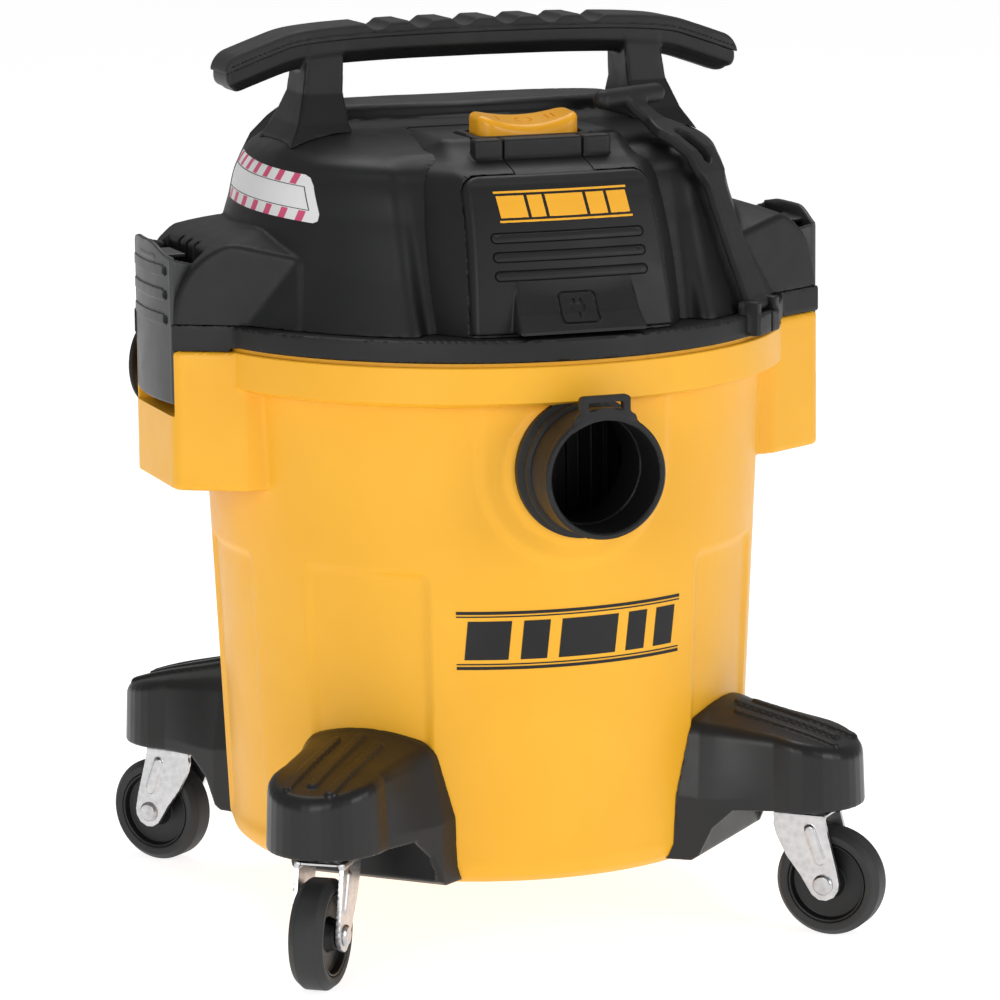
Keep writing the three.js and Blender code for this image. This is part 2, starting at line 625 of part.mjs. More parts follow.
function socketCover() {
  const sides = [[-60, -HINGE.middle], [HINGE.middle, 60]].map(([x0, x1]) =>
    alongX(disc(SWEEP, x0, x1, 40), HINGE.y, HINGE.z));
  const leaf = cut(coverRegion(0).intersect(bulge(1.4)), bulge(-3.6), ...sides);
  const lipShape = outline([[-144, 372], [-147.5, 371], [-164.8, 347.5], [-164.8, 345.5], [-150, 345.5]]);
  const lip = cut(extrudeX(lipShape, -33, 33), bulge(-1));
  const barrel = alongX(disc(HINGE.r, -HINGE.middle, HINGE.middle, 20), HINGE.y, HINGE.z);
  const neck = box(-HINGE.middle, HINGE.middle, HINGE.y - 5, HINGE.y + 1, HINGE.z - 8, HINGE.z);
  const pin = alongX(disc(HINGE.pinR + GAP, -60, 60, 10), HINGE.y, HINGE.z);
  add('socket_cover', cut(join(leaf, lip, barrel, neck), pin), BLACK());
}

function coverPin() {
  add('cover_pin', alongX(disc(HINGE.pinR, -37, 37, 10), HINGE.y, HINGE.z), STEEL());
}

// ---- Straps ----

// The rear strap is lifted a little more at its inner end, to pass over the hump.
function strap(name, turn, lift) {
  const raised = ([r, z]) => new THREE.Vector2(r, z + lift * Math.max(0, (135 - r) / 40));
  const curve = new THREE.SplineCurve(STRAP_LINE.map(raised));
  const count = 12;
  const thick = 4.6;
  const inner = [];
  const outer = [];
  for (let i = 0; i <= count; i += 1) {
    const at = curve.getPoint(i / count);
    const way = curve.getTangent(i / count);
    inner.push([at.x + way.y * -thick / 2, at.y + way.x * thick / 2]);
    outer.push([at.x + way.y * thick / 2, at.y - way.x * thick / 2]);
  }
  const web = extrudeY(outline([...inner, ...outer.reverse()]), -9, 9);
  const eye = extrudeY(outline([...inner.slice(7, 12), ...outer.slice(1, 6)]), -12.5, 12.5);
  const slot = box(111, 135, -6, 6, 415, 470);
  const end = raised(STRAP_LINE[STRAP_LINE.length - 1]);
  const bar = alongY(disc(5, -26, 26, 12), end.x, end.y);
  const barrel = alongY(disc(3.8, -9, 9, 14), LUG.r, LUG.z);
  const pin = alongY(disc(LUG.pinR + GAP, -20, 20, 10), LUG.r, LUG.z);
  const body = cut(join(web, eye, bar, barrel), slot, pin).rotate([0, 0, turn]);
  add(name, body, SOFT());
}

function strapPin(name, turn) {
  const length = LUG.half + LUG.width;
  add(name, alongY(disc(LUG.pinR, -length, length, 10), LUG.r, LUG.z).rotate([0, 0, turn]), STEEL());
}

// ---- Rear of the head ----

function blowerPort() {
  const tube = lathe([[PORT.bore, 128], [PORT.outer, 128], [PORT.outer, 161], [PORT.outer + 3, 161],
    [PORT.outer + 3, 165], [PORT.outer, 165], [PORT.outer, PORT.face], [PORT.bore, PORT.face],
    [PORT.bore, 128]], PORT_ROUND);
  add('blower_port', alongY(tube, 0, BLOWER.z), BLACK());
}

function exhaustGrille() {
  const rim = ring(26, PORT.bore - GAP, 132, 136, PORT_ROUND);
  const bars = [-18, -9, 0, 9, 18].map((x) => {
    const reach = Math.sqrt(28 ** 2 - x ** 2);
    return box(x - 1.5, x + 1.5, -reach, reach, 132.5, 135.5);
  });
  add('exhaust_grille', alongY(join(rim, ...bars), 0, BLOWER.z), BLACK());
}

function cordGland() {
  const sleeve = lathe([[4, 130], [9, 130], [9, 156], [7.5, 158], [6, 178], [4, 178], [4, 130]], 14);
  add('cord_gland', alongY(sleeve, 70, 364), SOFT());
}

// ---- Motor, fans, filter ----

function motor() {
  const { bore, outer, low, top, shaft } = MOTOR;
  const stator = cut(ring(bore, outer, low, top, 24), box(-60, 60, -7, 7, low + 4, top - 4));
  const ends = [ring(bore, outer, low, low + 6, 24), ring(bore, outer, top - 6, top, 24)];
  add('motor_stator', join(stator, ...ends), STEEL());
  add('motor_armature', ring(shaft + GAP, bore - 2, low + 4, top - 4, 20), COPPER());
  add('rotor_shaft', disc(shaft, IMPELLER.low - 2.5, top + 22, 10), STEEL());
  add('cooling_fan', fan(shaft + GAP, 38, top + 7, top + 11, 6, top + 18), BLACK());
  add('impeller', fan(shaft + GAP, IMPELLER.r, IMPELLER.low, IMPELLER.low + 1.5, 7, IMPELLER.top), STEEL());
}

function fan(bore, radius, low, high, blades, top) {
  const disk = ring(bore, radius, low, high, 20);
  const hub = ring(bore, bore + 5, low, top, 10);
  const blade = box(bore + 3, radius - 1, -0.9, 0.9, low + 0.5, top);
  const set = Array.from({ length: blades }, (_, i) => blade.rotate([0, 0, (360 * i) / blades]));
  return join(disk, hub, ...set);
}

function impellerCase() {
  const shell = lathe([[20, 313], [73.6, 313], [73.6, 337], [12, 337], [12, 334.5], [71, 334.5], [71, 315.5],
    [20, 315.5], [20, 313]], 20);
  add('impeller_case', shell, STEEL());
}

function filterCage() {
  const { outer, inner, low, top } = CAGE;
  const wall = lathe([[outer, low], [outer, top], [72, top], [72, top + 2.6], [inner, top + 2.6],
    [inner, low + 3], [0, low + 3], [0, low], [outer, low]], 20);
  const windows = Array.from({ length: 4 }, (_, i) =>
    box(40, 66, -24, 24, 222, 296).rotate([0, 0, 90 * i]));
  add('filter_cage', cut(wall, ...windows), BLACK());
}

function filter() {
  const { inner, outer, low, top } = FILTER;
  const cap = lathe([[0, low - 6], [40, low - 6], [outer, low - 4], [outer, low - 0.4], [0, low - 0.4]], 20);
  add('filter_sleeve', ring(inner, outer, low, top, 20), PAPER());
  add('filter_cap', cap, SOFT());
}

function floatBall() {
  const profile = [[0, 209.6], [14, 211], [24, 222], [26, 236], [24, 250], [14, 261], [0, 263]];
  add('float_ball', lathe(profile, 16), SOFT());
}

function deckSeal() {
  add('deck_seal', ring(162.4, 164.5, 323, 330.4, ROUND), SOFT());
}

// ---- Assembly ----

drum();
inletPort();
inletDeflector();
for (const corner of Object.keys(FOOT_ANGLE)) {
  foot(`foot_${corner}`, FOOT_ANGLE[corner]);
  caster(corner);
}
latch('latch_left', -1);
latch('latch_right', 1);
latchPin('latch_pin_left', -1);
latchPin('latch_pin_right', 1);
cordPeg('cord_peg_left', 135);
cordPeg('cord_peg_right', 45);
headDeck();
deckSeal();
motorHousing();
handleFrame();
handleGrip();
switchBezel();
rockerSwitch();
powerSocket();
socketCover();
coverPin();
strap('strap_right', -45, 0);
strap('strap_left', 135, 9);
strapPin('strap_pin_right', -45);
strapPin('strap_pin_left', 135);
blowerPort();
exhaustGrille();
cordGland();
motor();
impellerCase();
filterCage();
filter();
floatBall();

export default vacuum;
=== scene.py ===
"""Looks of the shop vacuum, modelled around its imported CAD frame.

Most pieces are written as fields: functions that give the signed distance, in millimetres, from a point to
the piece's surface. A field is meshed on a fine grid and scaled to metres, so it lies where the CAD says.
"""

import math

import bpy
import numpy as np
from mathutils import Matrix, Vector


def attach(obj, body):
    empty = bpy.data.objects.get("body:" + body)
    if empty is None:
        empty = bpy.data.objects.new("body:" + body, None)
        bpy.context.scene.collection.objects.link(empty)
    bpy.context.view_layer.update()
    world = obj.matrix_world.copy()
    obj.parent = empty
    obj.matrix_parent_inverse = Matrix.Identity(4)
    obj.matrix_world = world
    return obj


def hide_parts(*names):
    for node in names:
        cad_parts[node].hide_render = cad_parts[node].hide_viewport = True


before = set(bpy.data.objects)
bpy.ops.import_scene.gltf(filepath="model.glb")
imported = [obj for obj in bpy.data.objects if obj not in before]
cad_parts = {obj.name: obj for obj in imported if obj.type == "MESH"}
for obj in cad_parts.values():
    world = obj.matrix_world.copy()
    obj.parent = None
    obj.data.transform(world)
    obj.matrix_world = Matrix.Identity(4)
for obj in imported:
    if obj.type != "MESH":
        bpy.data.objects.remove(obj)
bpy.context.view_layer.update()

MM = 0.001
CORNERS = {"front_left": -135, "front_right": -45, "rear_right": 45, "rear_left": 135}
TURN = {"front_left": -126, "front_right": -44, "rear_right": 50, "rear_left": 129}


# ---- Fields ----

def union(a, b, r=0.0):
    """The nearer of two fields, with a fillet of radius r where they meet."""
    if r == 0:
        return np.minimum(a, b)
    return np.maximum(r, np.minimum(a, b)) - np.hypot(np.maximum(r - a, 0), np.maximum(r - b, 0))


def both(a, b, r=0.0):
    """What two fields share, with its new edge rounded to radius r."""
    if r == 0:
        return np.maximum(a, b)
    return np.minimum(-r, np.maximum(a, b)) + np.hypot(np.maximum(r + a, 0), np.maximum(r + b, 0))


def less(a, b, r=0.0):
    return both(a, -b, r)


def slab(t, low, high):
    return np.maximum(low - t, t - high)


def block(x, y, z, x0, x1, y0, y1, z0, z1, r=0.0):
    """A box with rounded edges."""
    half = [(x1 - x0) / 2 - r, (y1 - y0) / 2 - r, (z1 - z0) / 2 - r]
    q = [np.abs(t - (a + b) / 2) - h for t, a, b, h in zip((x, y, z), (x0, y0, z0), (x1, y1, z1), half)]
    outside = np.sqrt(sum(np.maximum(t, 0) ** 2 for t in q))
    return outside + np.minimum(np.maximum(np.maximum(q[0], q[1]), q[2]), 0) - r


def outline(u, v, points):
    """Distance to a closed outline of [u, v] points."""
    best = np.full_like(u, 1e9)
    inside = np.zeros(u.shape, bool)
    for (u0, v0), (u1, v1) in zip(points, points[1:] + points[:1]):
        du, dv = u1 - u0, v1 - v0
        wu, wv = u - u0, v - v0
        t = np.clip((wu * du + wv * dv) / (du * du + dv * dv), 0, 1)
        best = np.minimum(best, (wu - t * du) ** 2 + (wv - t * dv) ** 2)
        if dv:
            inside ^= ((v0 > v) != (v1 > v)) & (wu < du * wv / dv)
    return np.where(inside, -1, 1) * np.sqrt(best)


def path_distance(u, v, points):
    """Distance to an open line of points, and how far along it the nearest place is."""
    best = np.full_like(u, 1e9)
    along = np.zeros_like(u)
    done = 0.0
    for (u0, v0), (u1, v1) in zip(points, points[1:]):
        du, dv = u1 - u0, v1 - v0
        length = math.hypot(du, dv)
        t = np.clip(((u - u0) * du + (v - v0) * dv) / length ** 2, 0, 1)
        d = (u - u0 - t * du) ** 2 + (v - v0 - t * dv) ** 2
        along = np.where(d < best, done + t * length, along)
        best = np.minimum(best, d)
        done += length
    return np.sqrt(best), along


def disc(u, v, r, cu=0.0, cv=0.0):
    return np.hypot(u - cu, v - cv) - r


def pill(u, v, half, r):
    """A bar with round ends, 2 * half long and 2 * r thick."""
    return np.hypot(np.maximum(np.abs(u) - half + r, 0), v) - r


def ramp(d, width):
    """0 outside, rising to 1 over a width inside an outline at distance d."""
    return np.clip(-d / width, 0, 1)


def smooth(t):
    t = np.clip(t, 0, 1)
    return t * t * (3 - 2 * t)


class Curve:
    """A smooth reading of a table of [z, value] rows that never overshoots."""

    def __init__(self, rows):
        z, v = np.array(rows, float).T
        step = np.diff(v) / np.diff(z)
        slope = np.concatenate([step[:1], (step[1:] + step[:-1]) / 2, step[-1:]])
        flat = np.concatenate([[False], step[1:] * step[:-1] <= 0, [False]])
        slope[flat] = 0
        self.z = np.linspace(z[0], z[-1], 400)
        i = np.clip(np.searchsorted(z, self.z, side="right") - 1, 0, len(z) - 2)
        h = z[i + 1] - z[i]
        t = (self.z - z[i]) / h
        self.v = ((1 + 2 * t) * (1 - t) ** 2 * v[i] + t * (1 - t) ** 2 * h * slope[i]
                  + t * t * (3 - 2 * t) * v[i + 1] + t * t * (t - 1) * h * slope[i + 1])

    def __call__(self, z):
        return np.interp(z, self.z, self.v).astype(z.dtype)

    def slope(self, z):
        return self(z + 0.5) - self(z - 0.5)


def bezier(p0, p1, p2, p3, count=12):
    t = np.linspace(0, 1, count + 1)[:, None]
    p0, p1, p2, p3 = (np.array(p, float) for p in (p0, p1, p2, p3))
    line = (1 - t) ** 3 * p0 + 3 * t * (1 - t) ** 2 * p1 + 3 * t * t * (1 - t) * p2 + t ** 3 * p3
    return [tuple(p) for p in line]


# ---- Meshing a field ----

BLOCK = 6            # grid cells along a block's side
BATCH = 1500         # blocks worked out at a time
SLACK = 1.6          # how far a field may overstate its distance
PULL = 0.03          # how strongly a vertex is held at the middle of its cell's crossings


def near_blocks(field, low, high, step):
    """The grid blocks that the surface may cross."""
    count = np.ceil((np.array(high) - low) / (step * BLOCK)).astype(int)
    blocks = np.stack(np.meshgrid(*[np.arange(n) for n in count], indexing="ij"), -1).reshape(-1, 3)
    centre = (np.array(low) + (blocks + 0.5) * step * BLOCK).astype(np.float32)
    reach = step * BLOCK * math.sqrt(3) / 2
    return blocks[np.abs(field(*centre.T)) < SLACK * reach]


def crossings(field, low, step, blocks):
    """Grid edges that cross the surface: axis, start cell, share along the edge, and which way is out."""
    corner = np.stack(np.meshgrid(*[np.arange(BLOCK + 1)] * 3, indexing="ij"), -1)
    found = []
    for i in range(0, len(blocks), BATCH):
        part = blocks[i:i + BATCH]
        cell = part[:, None, None, None] * BLOCK + corner
        place = (np.array(low) + cell * step).astype(np.float32).reshape(-1, 3)
        value = field(*place.T).reshape(cell.shape[:4])
        value = np.where(value == 0, np.float32(1e-5), value)
        start = value[:, :-1, :-1, :-1]
        ends = [value[:, 1:, :-1, :-1], value[:, :-1, 1:, :-1], value[:, :-1, :-1, 1:]]
        for axis, end in enumerate(ends):
            at = np.nonzero((start < 0) != (end < 0))
            a, b = start[at], end[at]
            found.append((np.full(len(a), axis), cell[:, :-1, :-1, :-1][at], a / (a - b), a < 0))
    return [np.concatenate(column) for column in zip(*found)]


def gradient(field, p, h=0.04):
    """Unit normals of the field at points p."""
    g = np.empty_like(p)
    for axis in range(3):
        d = np.zeros(3)
        d[axis] = h
        g[:, axis] = field(*(p + d).T) - field(*(p - d).T)
    return g / np.maximum(np.linalg.norm(g, axis=1, keepdims=True), 1e-9)


def mesh_of(field, low, high, step):
    """Dual contouring: one vertex in each grid cell on the surface, pulled onto edges and corners."""
    low = np.array(low, float)
    axis, cell, share, outward = crossings(field, low, step, near_blocks(field, low, high, step))
    p = low + (cell + share[:, None] * np.eye(3)[axis]) * step
    n = gradient(field, p)
    around = np.array([[[0, -1, -1], [0, 0, -1], [0, 0, 0], [0, -1, 0]],
                       [[-1, 0, -1], [-1, 0, 0], [0, 0, 0], [0, 0, -1]],
                       [[-1, -1, 0], [0, -1, 0], [0, 0, 0], [-1, 0, 0]]])
    cells = cell[:, None] + around[axis] + 1
    span = cells.reshape(-1, 3).max(0) + 2
    key = (cells[..., 0] * span[1] + cells[..., 1]) * span[2] + cells[..., 2]
    unique, quads = np.unique(key.ravel(), return_inverse=True)
    quads = quads.reshape(-1, 4)
    owner = quads.ravel()
    count = np.bincount(owner, minlength=len(unique)).astype(float)

    def gather(values):
        return np.bincount(owner, np.repeat(values, 4), len(unique))

    centre = np.stack([gather(p[:, k]) for k in range(3)], -1) / count[:, None]
    square = np.empty((len(unique), 3, 3))
    for a in range(3):
        for b in range(3):
            square[:, a, b] = gather(n[:, a] * n[:, b])
    pull = np.stack([gather(n[:, k] * (n * p).sum(1)) for k in range(3)], -1)
    square += np.eye(3) * PULL * count[:, None, None]
    pull += PULL * count[:, None] * centre
    points = np.linalg.solve(square, pull[..., None])[..., 0]
    base = np.stack([unique // (span[1] * span[2]), unique // span[2] % span[1], unique % span[2]], -1) - 1
    points = np.clip(points, low + base * step, low + (base + 1) * step)
    return points, np.where(outward[:, None], quads, quads[:, ::-1])


# ---- Pieces ----

def to_mesh(name, points, faces):
    mesh = bpy.data.meshes.new(name)
    mesh.vertices.add(len(points))
    mesh.vertices.foreach_set("co", (np.asarray(points) * MM).astype(np.float32).ravel())
    mesh.loops.add(faces.size)
    mesh.loops.foreach_set("vertex_index", faces.astype(np.int32).ravel())
    mesh.polygons.add(len(faces))
    mesh.polygons.foreach_set("loop_start", np.arange(0, faces.size, faces.shape[1], dtype=np.int32))
    mesh.update(calc_edges=True)
    mesh.validate()
    return mesh


def finish_piece(obj, body, material, replaced=(), sharp=38):
    obj.data.materials.append(material)
    obj.data.shade_smooth()
    obj.data.set_sharp_from_angle(angle=math.radians(sharp))
    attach(obj, body)
    if replaced:
        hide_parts(*replaced)
    return obj


def piece(name, shape, body, material, replaced=(), sharp=38):
    """A new piece of the object from (points, faces) in millimetres."""
    obj = bpy.data.objects.new(name, to_mesh(name, *shape))
    bpy.context.scene.collection.objects.link(obj)
    return finish_piece(obj, body, material, replaced, sharp)


def turned(shape, degrees, offset=(0, 0, 0)):
    """A shape turned about +Z and then moved."""
    a = math.radians(degrees)
    turn = np.array([[math.cos(a), -math.sin(a), 0], [math.sin(a), math.cos(a), 0], [0, 0, 1]])
    return shape[0] @ turn.T + np.array(offset), shape[1]


def rounded(points, radius, steps=4):
    """A closed [r, z] outline with its corners rounded."""
    result = []
    for i, p in enumerate(points):
        p = np.array(p, float)
        a = np.array(points[i - 1], float) - p
        b = np.array(points[(i + 1) % len(points)], float) - p
        la, lb = np.linalg.norm(a), np.linalg.norm(b)
        a, b = a / la, b / lb
        half = math.acos(np.clip(a @ b, -1, 1)) / 2
        back = min(radius / max(math.tan(half), 1e-6), la * 0.45, lb * 0.45)
        for k in range(steps + 1):
            t = k / steps
            result.append(tuple(p + a * back * (1 - t) ** 2 + b * back * t ** 2))
    return result


def mirrored(points):
    """Half an outline of [u, v] points, followed by its mirror image across v = 0."""
    return points + [(u, -v) for u, v in points[::-1]]


def grid_faces(rows, columns, round_rows=False, round_columns=False):
    """Quads between the points of a grid, whose rows or columns may close up to a ring."""
    down, along = np.arange(rows - (not round_rows)), np.arange(columns - (not round_columns))
    i, j = (g.ravel() for g in np.meshgrid(down, along, indexing="ij"))
    next_i, next_j = (i + 1) % rows, (j + 1) % columns
    corners = [(i, j), (next_i, j), (next_i, next_j), (i, next_j)]
    return np.stack([row * columns + column for row, column in corners], -1)


def lathe(profile, segments=96):
    """A closed [r, z] profile turned about +Z."""
    angle = np.linspace(0, 2 * math.pi, segments, endpoint=False)
    r, z = np.array(profile, float).T
    points = np.stack([np.outer(np.cos(angle), r), np.outer(np.sin(angle), r),
                       np.broadcast_to(z, (segments, len(r)))], -1).reshape(-1, 3)
    faces = grid_faces(segments, len(r), True, True)
    area = sum(p[0] * q[1] - q[0] * p[1] for p, q in zip([profile[-1], *profile], profile))
    return points, faces if area > 0 else faces[:, ::-1]


# ---- Materials ----

NOISE = "ShaderNodeTexNoise"


def nodes_of(name):
    material = bpy.data.materials.new(name)
    material.use_nodes = True
    tree = material.node_tree
    return material, tree, tree.nodes["Principled BSDF"]


def add(tree, kind, **settings):
    node = tree.nodes.new(kind)
    for key, value in settings.items():
        if key in node.inputs:
            node.inputs[key].default_value = value
        else:
            setattr(node, key, value)
    return node


def texture(tree, kind, place, **settings):
    """A texture node that reads its coordinates from place."""
    node = add(tree, kind, **settings)
    tree.links.new(place, node.inputs["Vector"])
    return node


def color_by(tree, shader, source, stops):
    """Colours the surface by a texture, between the two stops of a ramp."""
    node = add(tree, "ShaderNodeValToRGB")
    for element, (at, color) in zip(node.color_ramp.elements, stops):
        element.position = at
        element.color = (*color, 1)
    tree.links.new(source, node.inputs["Fac"])
    tree.links.new(node.outputs["Color"], shader.inputs["Base Color"])


def roughness_by(tree, shader, source, rough):
    """Spreads the middle of a texture's range over two values of roughness."""
    spread = add(tree, "ShaderNodeMapRange", **{"From Min": 0.3, "From Max": 0.7,
                                                "To Min": rough[0], "To Max": rough[1]})
    tree.links.new(source, spread.inputs["Value"])
    tree.links.new(spread.outputs["Result"], shader.inputs["Roughness"])


def bumped(tree, source, depth, under=None):
    """The normal that a texture's relief gives, depth millimetres high, on top of another one."""
    bump = add(tree, "ShaderNodeBump", Strength=1.0, Distance=depth * MM)
    tree.links.new(source, bump.inputs["Height"])
    if under is not None:
        tree.links.new(under, bump.inputs["Normal"])
    return bump.outputs["Normal"]


def moulded(name, dark, light, rough=(0.4, 0.5), grain=0.45, depth=0.05, specular=0.5, metallic=0.0,
            mottle=14.0, waves=0.0):
    """Moulded plastic, rubber or metal: a slow change of colour, a fine grain, and roughness that varies.
    grain is the texture's feature size and depth its height, in millimetres."""
    material, tree, shader = nodes_of(name)
    place = add(tree, "ShaderNodeTexCoord").outputs["Object"]
    broad = texture(tree, NOISE, place, Scale=mottle, Detail=4.0, Roughness=0.55).outputs["Fac"]
    color_by(tree, shader, broad, [(0.3, dark), (0.7, light)])
    fine = texture(tree, NOISE, place, Scale=1 / (grain * MM), Detail=3.0, Roughness=0.6).outputs["Fac"]
    smear = texture(tree, NOISE, place, Scale=60.0, Detail=5.0, Roughness=0.6).outputs["Fac"]
    roughness_by(tree, shader, smear, rough)
    normal = bumped(tree, fine, depth)
    if waves:
        normal = bumped(tree, broad, waves, normal)
    tree.links.new(normal, shader.inputs["Normal"])
    shader.inputs["Specular IOR Level"].default_value = specular
    shader.inputs["Metallic"].default_value = metallic
    return material


def brushed(name, dark, light, rough=(0.25, 0.42)):
    """Plated sheet metal with fine rolling marks and small spangles."""
    material, tree, shader = nodes_of(name)
    place = add(tree, "ShaderNodeTexCoord").outputs["Object"]
    stretch = texture(tree, "ShaderNodeMapping", place, Scale=(300, 300, 1800)).outputs["Vector"]
    lines = texture(tree, NOISE, stretch, Scale=1.0, Detail=4.0, Roughness=0.6).outputs["Fac"]
    cells = texture(tree, "ShaderNodeTexVoronoi", place, Scale=260.0)
    color_by(tree, shader, cells.outputs["Distance"], [(0.0, dark), (0.8, light)])
    roughness_by(tree, shader, lines, rough)
    tree.links.new(bumped(tree, lines, 0.02), shader.inputs["Normal"])
    shader.inputs["Metallic"].default_value = 1.0
    return material


YELLOW = moulded("yellow_shell", (0.87, 0.425, 0.022), (0.91, 0.46, 0.028), (0.36, 0.46), 0.9, 0.012, 0.35,
                 waves=0.15)
BLACK = moulded("black_shell", (0.0076, 0.0078, 0.008), (0.0108, 0.011, 0.0112), (0.44, 0.54), 0.5, 0.035,
                0.32)
FOOT_BLACK = moulded("foot_shell", (0.009, 0.009, 0.0092), (0.0125, 0.0125, 0.0125), (0.32, 0.4), 0.5, 0.02,
                     0.36)
GREY = moulded("latch_shell", (0.028, 0.029, 0.03), (0.036, 0.037, 0.038), (0.38, 0.46), 0.5, 0.03, 0.5)
GRIP = moulded("grip_skin", (0.012, 0.0122, 0.0124), (0.022, 0.0224, 0.0228), (0.55, 0.7), 0.4, 0.07, 0.35)
STRAP = moulded("strap_skin", (0.0095, 0.0096, 0.0098), (0.014, 0.0142, 0.0144), (0.5, 0.62), 0.5, 0.03, 0.35)
TYRE = moulded("tyre_skin", (0.018, 0.0185, 0.019), (0.026, 0.0265, 0.027), (0.5, 0.62), 0.6, 0.04, 0.4)
HUB = moulded("hub_shell", (0.006, 0.006, 0.0062), (0.010, 0.010, 0.0104), (0.35, 0.45), 0.5, 0.02, 0.4)
SWITCH_YELLOW = moulded("switch_shell", (0.84, 0.37, 0.010), (0.88, 0.41, 0.014), (0.3, 0.4), 0.7, 0.01, 0.4)
ZINC = brushed("zinc_plate", (0.50, 0.50, 0.51), (0.62, 0.62, 0.63))
STEEL = brushed("steel_pin", (0.42, 0.42, 0.43), (0.56, 0.56, 0.57), (0.2, 0.34))
INK = moulded("black_ink", (0.010, 0.010, 0.0105), (0.014, 0.014, 0.0145), (0.45, 0.55), 0.6, 0.01, 0.3)
# Painted shadow: a near-black finish, darker than the black plastic, for the strips round the cover's bars;
# it stands in for the shade in their grooves.
GROOVE_PAINTED_SHADOW = moulded("painted_groove_shadow", (0.0022, 0.0022, 0.0023), (0.003, 0.003, 0.0031), (0.6, 0.7), 0.6, 0.01, 0.1)
GOLD_INK = moulded("yellow_ink", (0.86, 0.40, 0.022), (0.90, 0.44, 0.03), (0.45, 0.55), 0.6, 0.01, 0.3)
COPPER = moulded("winding_copper", (0.50, 0.20, 0.08), (0.64, 0.28, 0.12), (0.3, 0.45), 0.8, 0.06, 0.5, 0.9)
LAMINATE = brushed("laminated_steel", (0.28, 0.28, 0.29), (0.4, 0.4, 0.41), (0.35, 0.5))
FLOAT = moulded("float_shell", (0.50, 0.50, 0.49), (0.58, 0.58, 0.57), (0.35, 0.45), 0.8, 0.02, 0.4)
LABEL = moulded("label_film", (0.72, 0.72, 0.72), (0.78, 0.78, 0.78), (0.3, 0.4), 0.8, 0.01, 0.4)
LABEL_PINK = moulded("label_ink_pink", (0.58, 0.07, 0.16), (0.64, 0.09, 0.19), (0.3, 0.4), 0.8, 0.01, 0.4)
PAPER = moulded("filter_felt", (0.66, 0.62, 0.52), (0.76, 0.72, 0.62), (0.85, 0.95), 0.7, 0.15, 0.2)


# ---- Drum ----

BAND_R = 167.9
BAND_LOW = 309.0
BAND_TOP = 330.7
WALL = 5.0
RIM_INSET = 0.7       # how far the shell's rim lies inside the turned band that covers it
PORT_Z = 273.2
BOSS_PLAN = mirrored([(130, -58), (138, -58), (154, -57), (189.3, -37)])
BOSS_LOW, BOSS_TOP = 252.7, 328.8
SLOT_X, SLOT_HALF, SLOT_FLOOR = 171.0, 35.4, 293.0
DRUM_PROFILE = [(0, 41.6), (131, 41.6), (137.5, 43.2), (141.8, 47), (144.5, 54), (155.9, 305.5),
                (157.5, 306.6), (BAND_R - RIM_INSET, 309.9), (BAND_R - RIM_INSET, 328),
                (BAND_R - 4.2, 328.1), (BAND_R - 4.2, BAND_TOP - RIM_INSET), (0, BAND_TOP - RIM_INSET)]
BAND_PROFILE = [(BAND_R - 4.6, 307.4), (BAND_R - 1.2, 309), (BAND_R, 309.6), (BAND_R, 328.2),
                (BAND_R - 0.5, 328.8), (BAND_R - 2.9, 328.8), (BAND_R - 2.9, BAND_TOP),
                (BAND_R - 4.6, BAND_TOP)]
PANEL_AT = (-135.5, -90, -44.5, 44.5, 90, 135.5)     # degrees from the front, towards +X
PANEL_HALF = 14.3
PANEL_Z = 216.5
LATCH_PIN_X, LATCH_PIN_Z = 181, 307


def drum_relief(x, y, z):
    """How far the wall stands out from a plain cone: the pad round the port, and six sunk panels."""
    angle = np.degrees(np.arctan2(x, -y))
    s = np.radians(angle) * 155
    pad = np.where(z > PORT_Z, np.abs(s), np.hypot(s, z - PORT_Z)) - 57.5
    front = y < 0
    relief = np.where(front, 2.3 * ramp(pad, 5.5), 0)
    collar = np.hypot(s, z - PORT_Z + 2) - 41.5
    relief = relief + np.where(front, 2.6 * ramp(collar, 3.5), 0)
    for at in PANEL_AT:
        off = (angle - at + 180) % 360 - 180
        u = np.abs(np.radians(off)) * 150 - math.radians(PANEL_HALF) * 150
        relief = relief - 2.4 * ramp(both(u, z - PANEL_Z, 7.0), 4.5)
    return relief * smooth((z - 50) / 12) * (z < BAND_LOW - 2)


def drum_outside(x, y, z):
    return outline(np.hypot(x, y) - drum_relief(x, y, z), z, DRUM_PROFILE)


def rounded_plan(u, v, points, radius):
    """An outline with its outer corners rounded."""
    p = np.array(points, float)
    if np.cross(p[1] - p[0], p[2] - p[1]) < 0:
        p = p[::-1]
    edge = np.roll(p, -1, axis=0) - p
    inward = np.stack([-edge[:, 1], edge[:, 0]], -1) / np.hypot(edge[:, 0], edge[:, 1])[:, None]
    near = []
    for i, corner in enumerate(p):
        pair = np.array([inward[i - 1], inward[i]])
        near.append(tuple(corner + np.linalg.solve(pair, np.array([radius, radius]))))
    return outline(u, v, near) - radius


def boss_block(side, y, z):
    """The block that carries a latch, hollow from below."""
    body = both(rounded_plan(side, y, BOSS_PLAN, 9.0), slab(z, BOSS_LOW, BOSS_TOP), 2.5)
    under = both(outline(side, y, BOSS_PLAN) + WALL + 1, z - SLOT_FLOOR + WALL, 3)
    return less(body, under, 1.0)


def drum_field(x, y, z):
    rho, side = np.hypot(x, y), np.abs(x)
    outside = drum_outside(x, y, z)
    body = union(outside, boss_block(side, y, z), 1.2)
    body = less(body, union(outside + WALL, both(rho - BAND_R + RIM_INSET + WALL, 322 - z)))
    slot = block(side, y, z, SLOT_X, 210, -SLOT_HALF, SLOT_HALF, SLOT_FLOOR, 350, 1.5)
    body = less(body, slot, 0.8)
    hole = np.where(y < 0, disc(x, z, 33.9, 0, PORT_Z), 50)
    body = less(body, hole, 0.6)
    pin = both(disc(side, z, 2.8, LATCH_PIN_X, LATCH_PIN_Z), np.abs(y) - 36.9)
    return less(body, pin)


# ---- Hose port ----

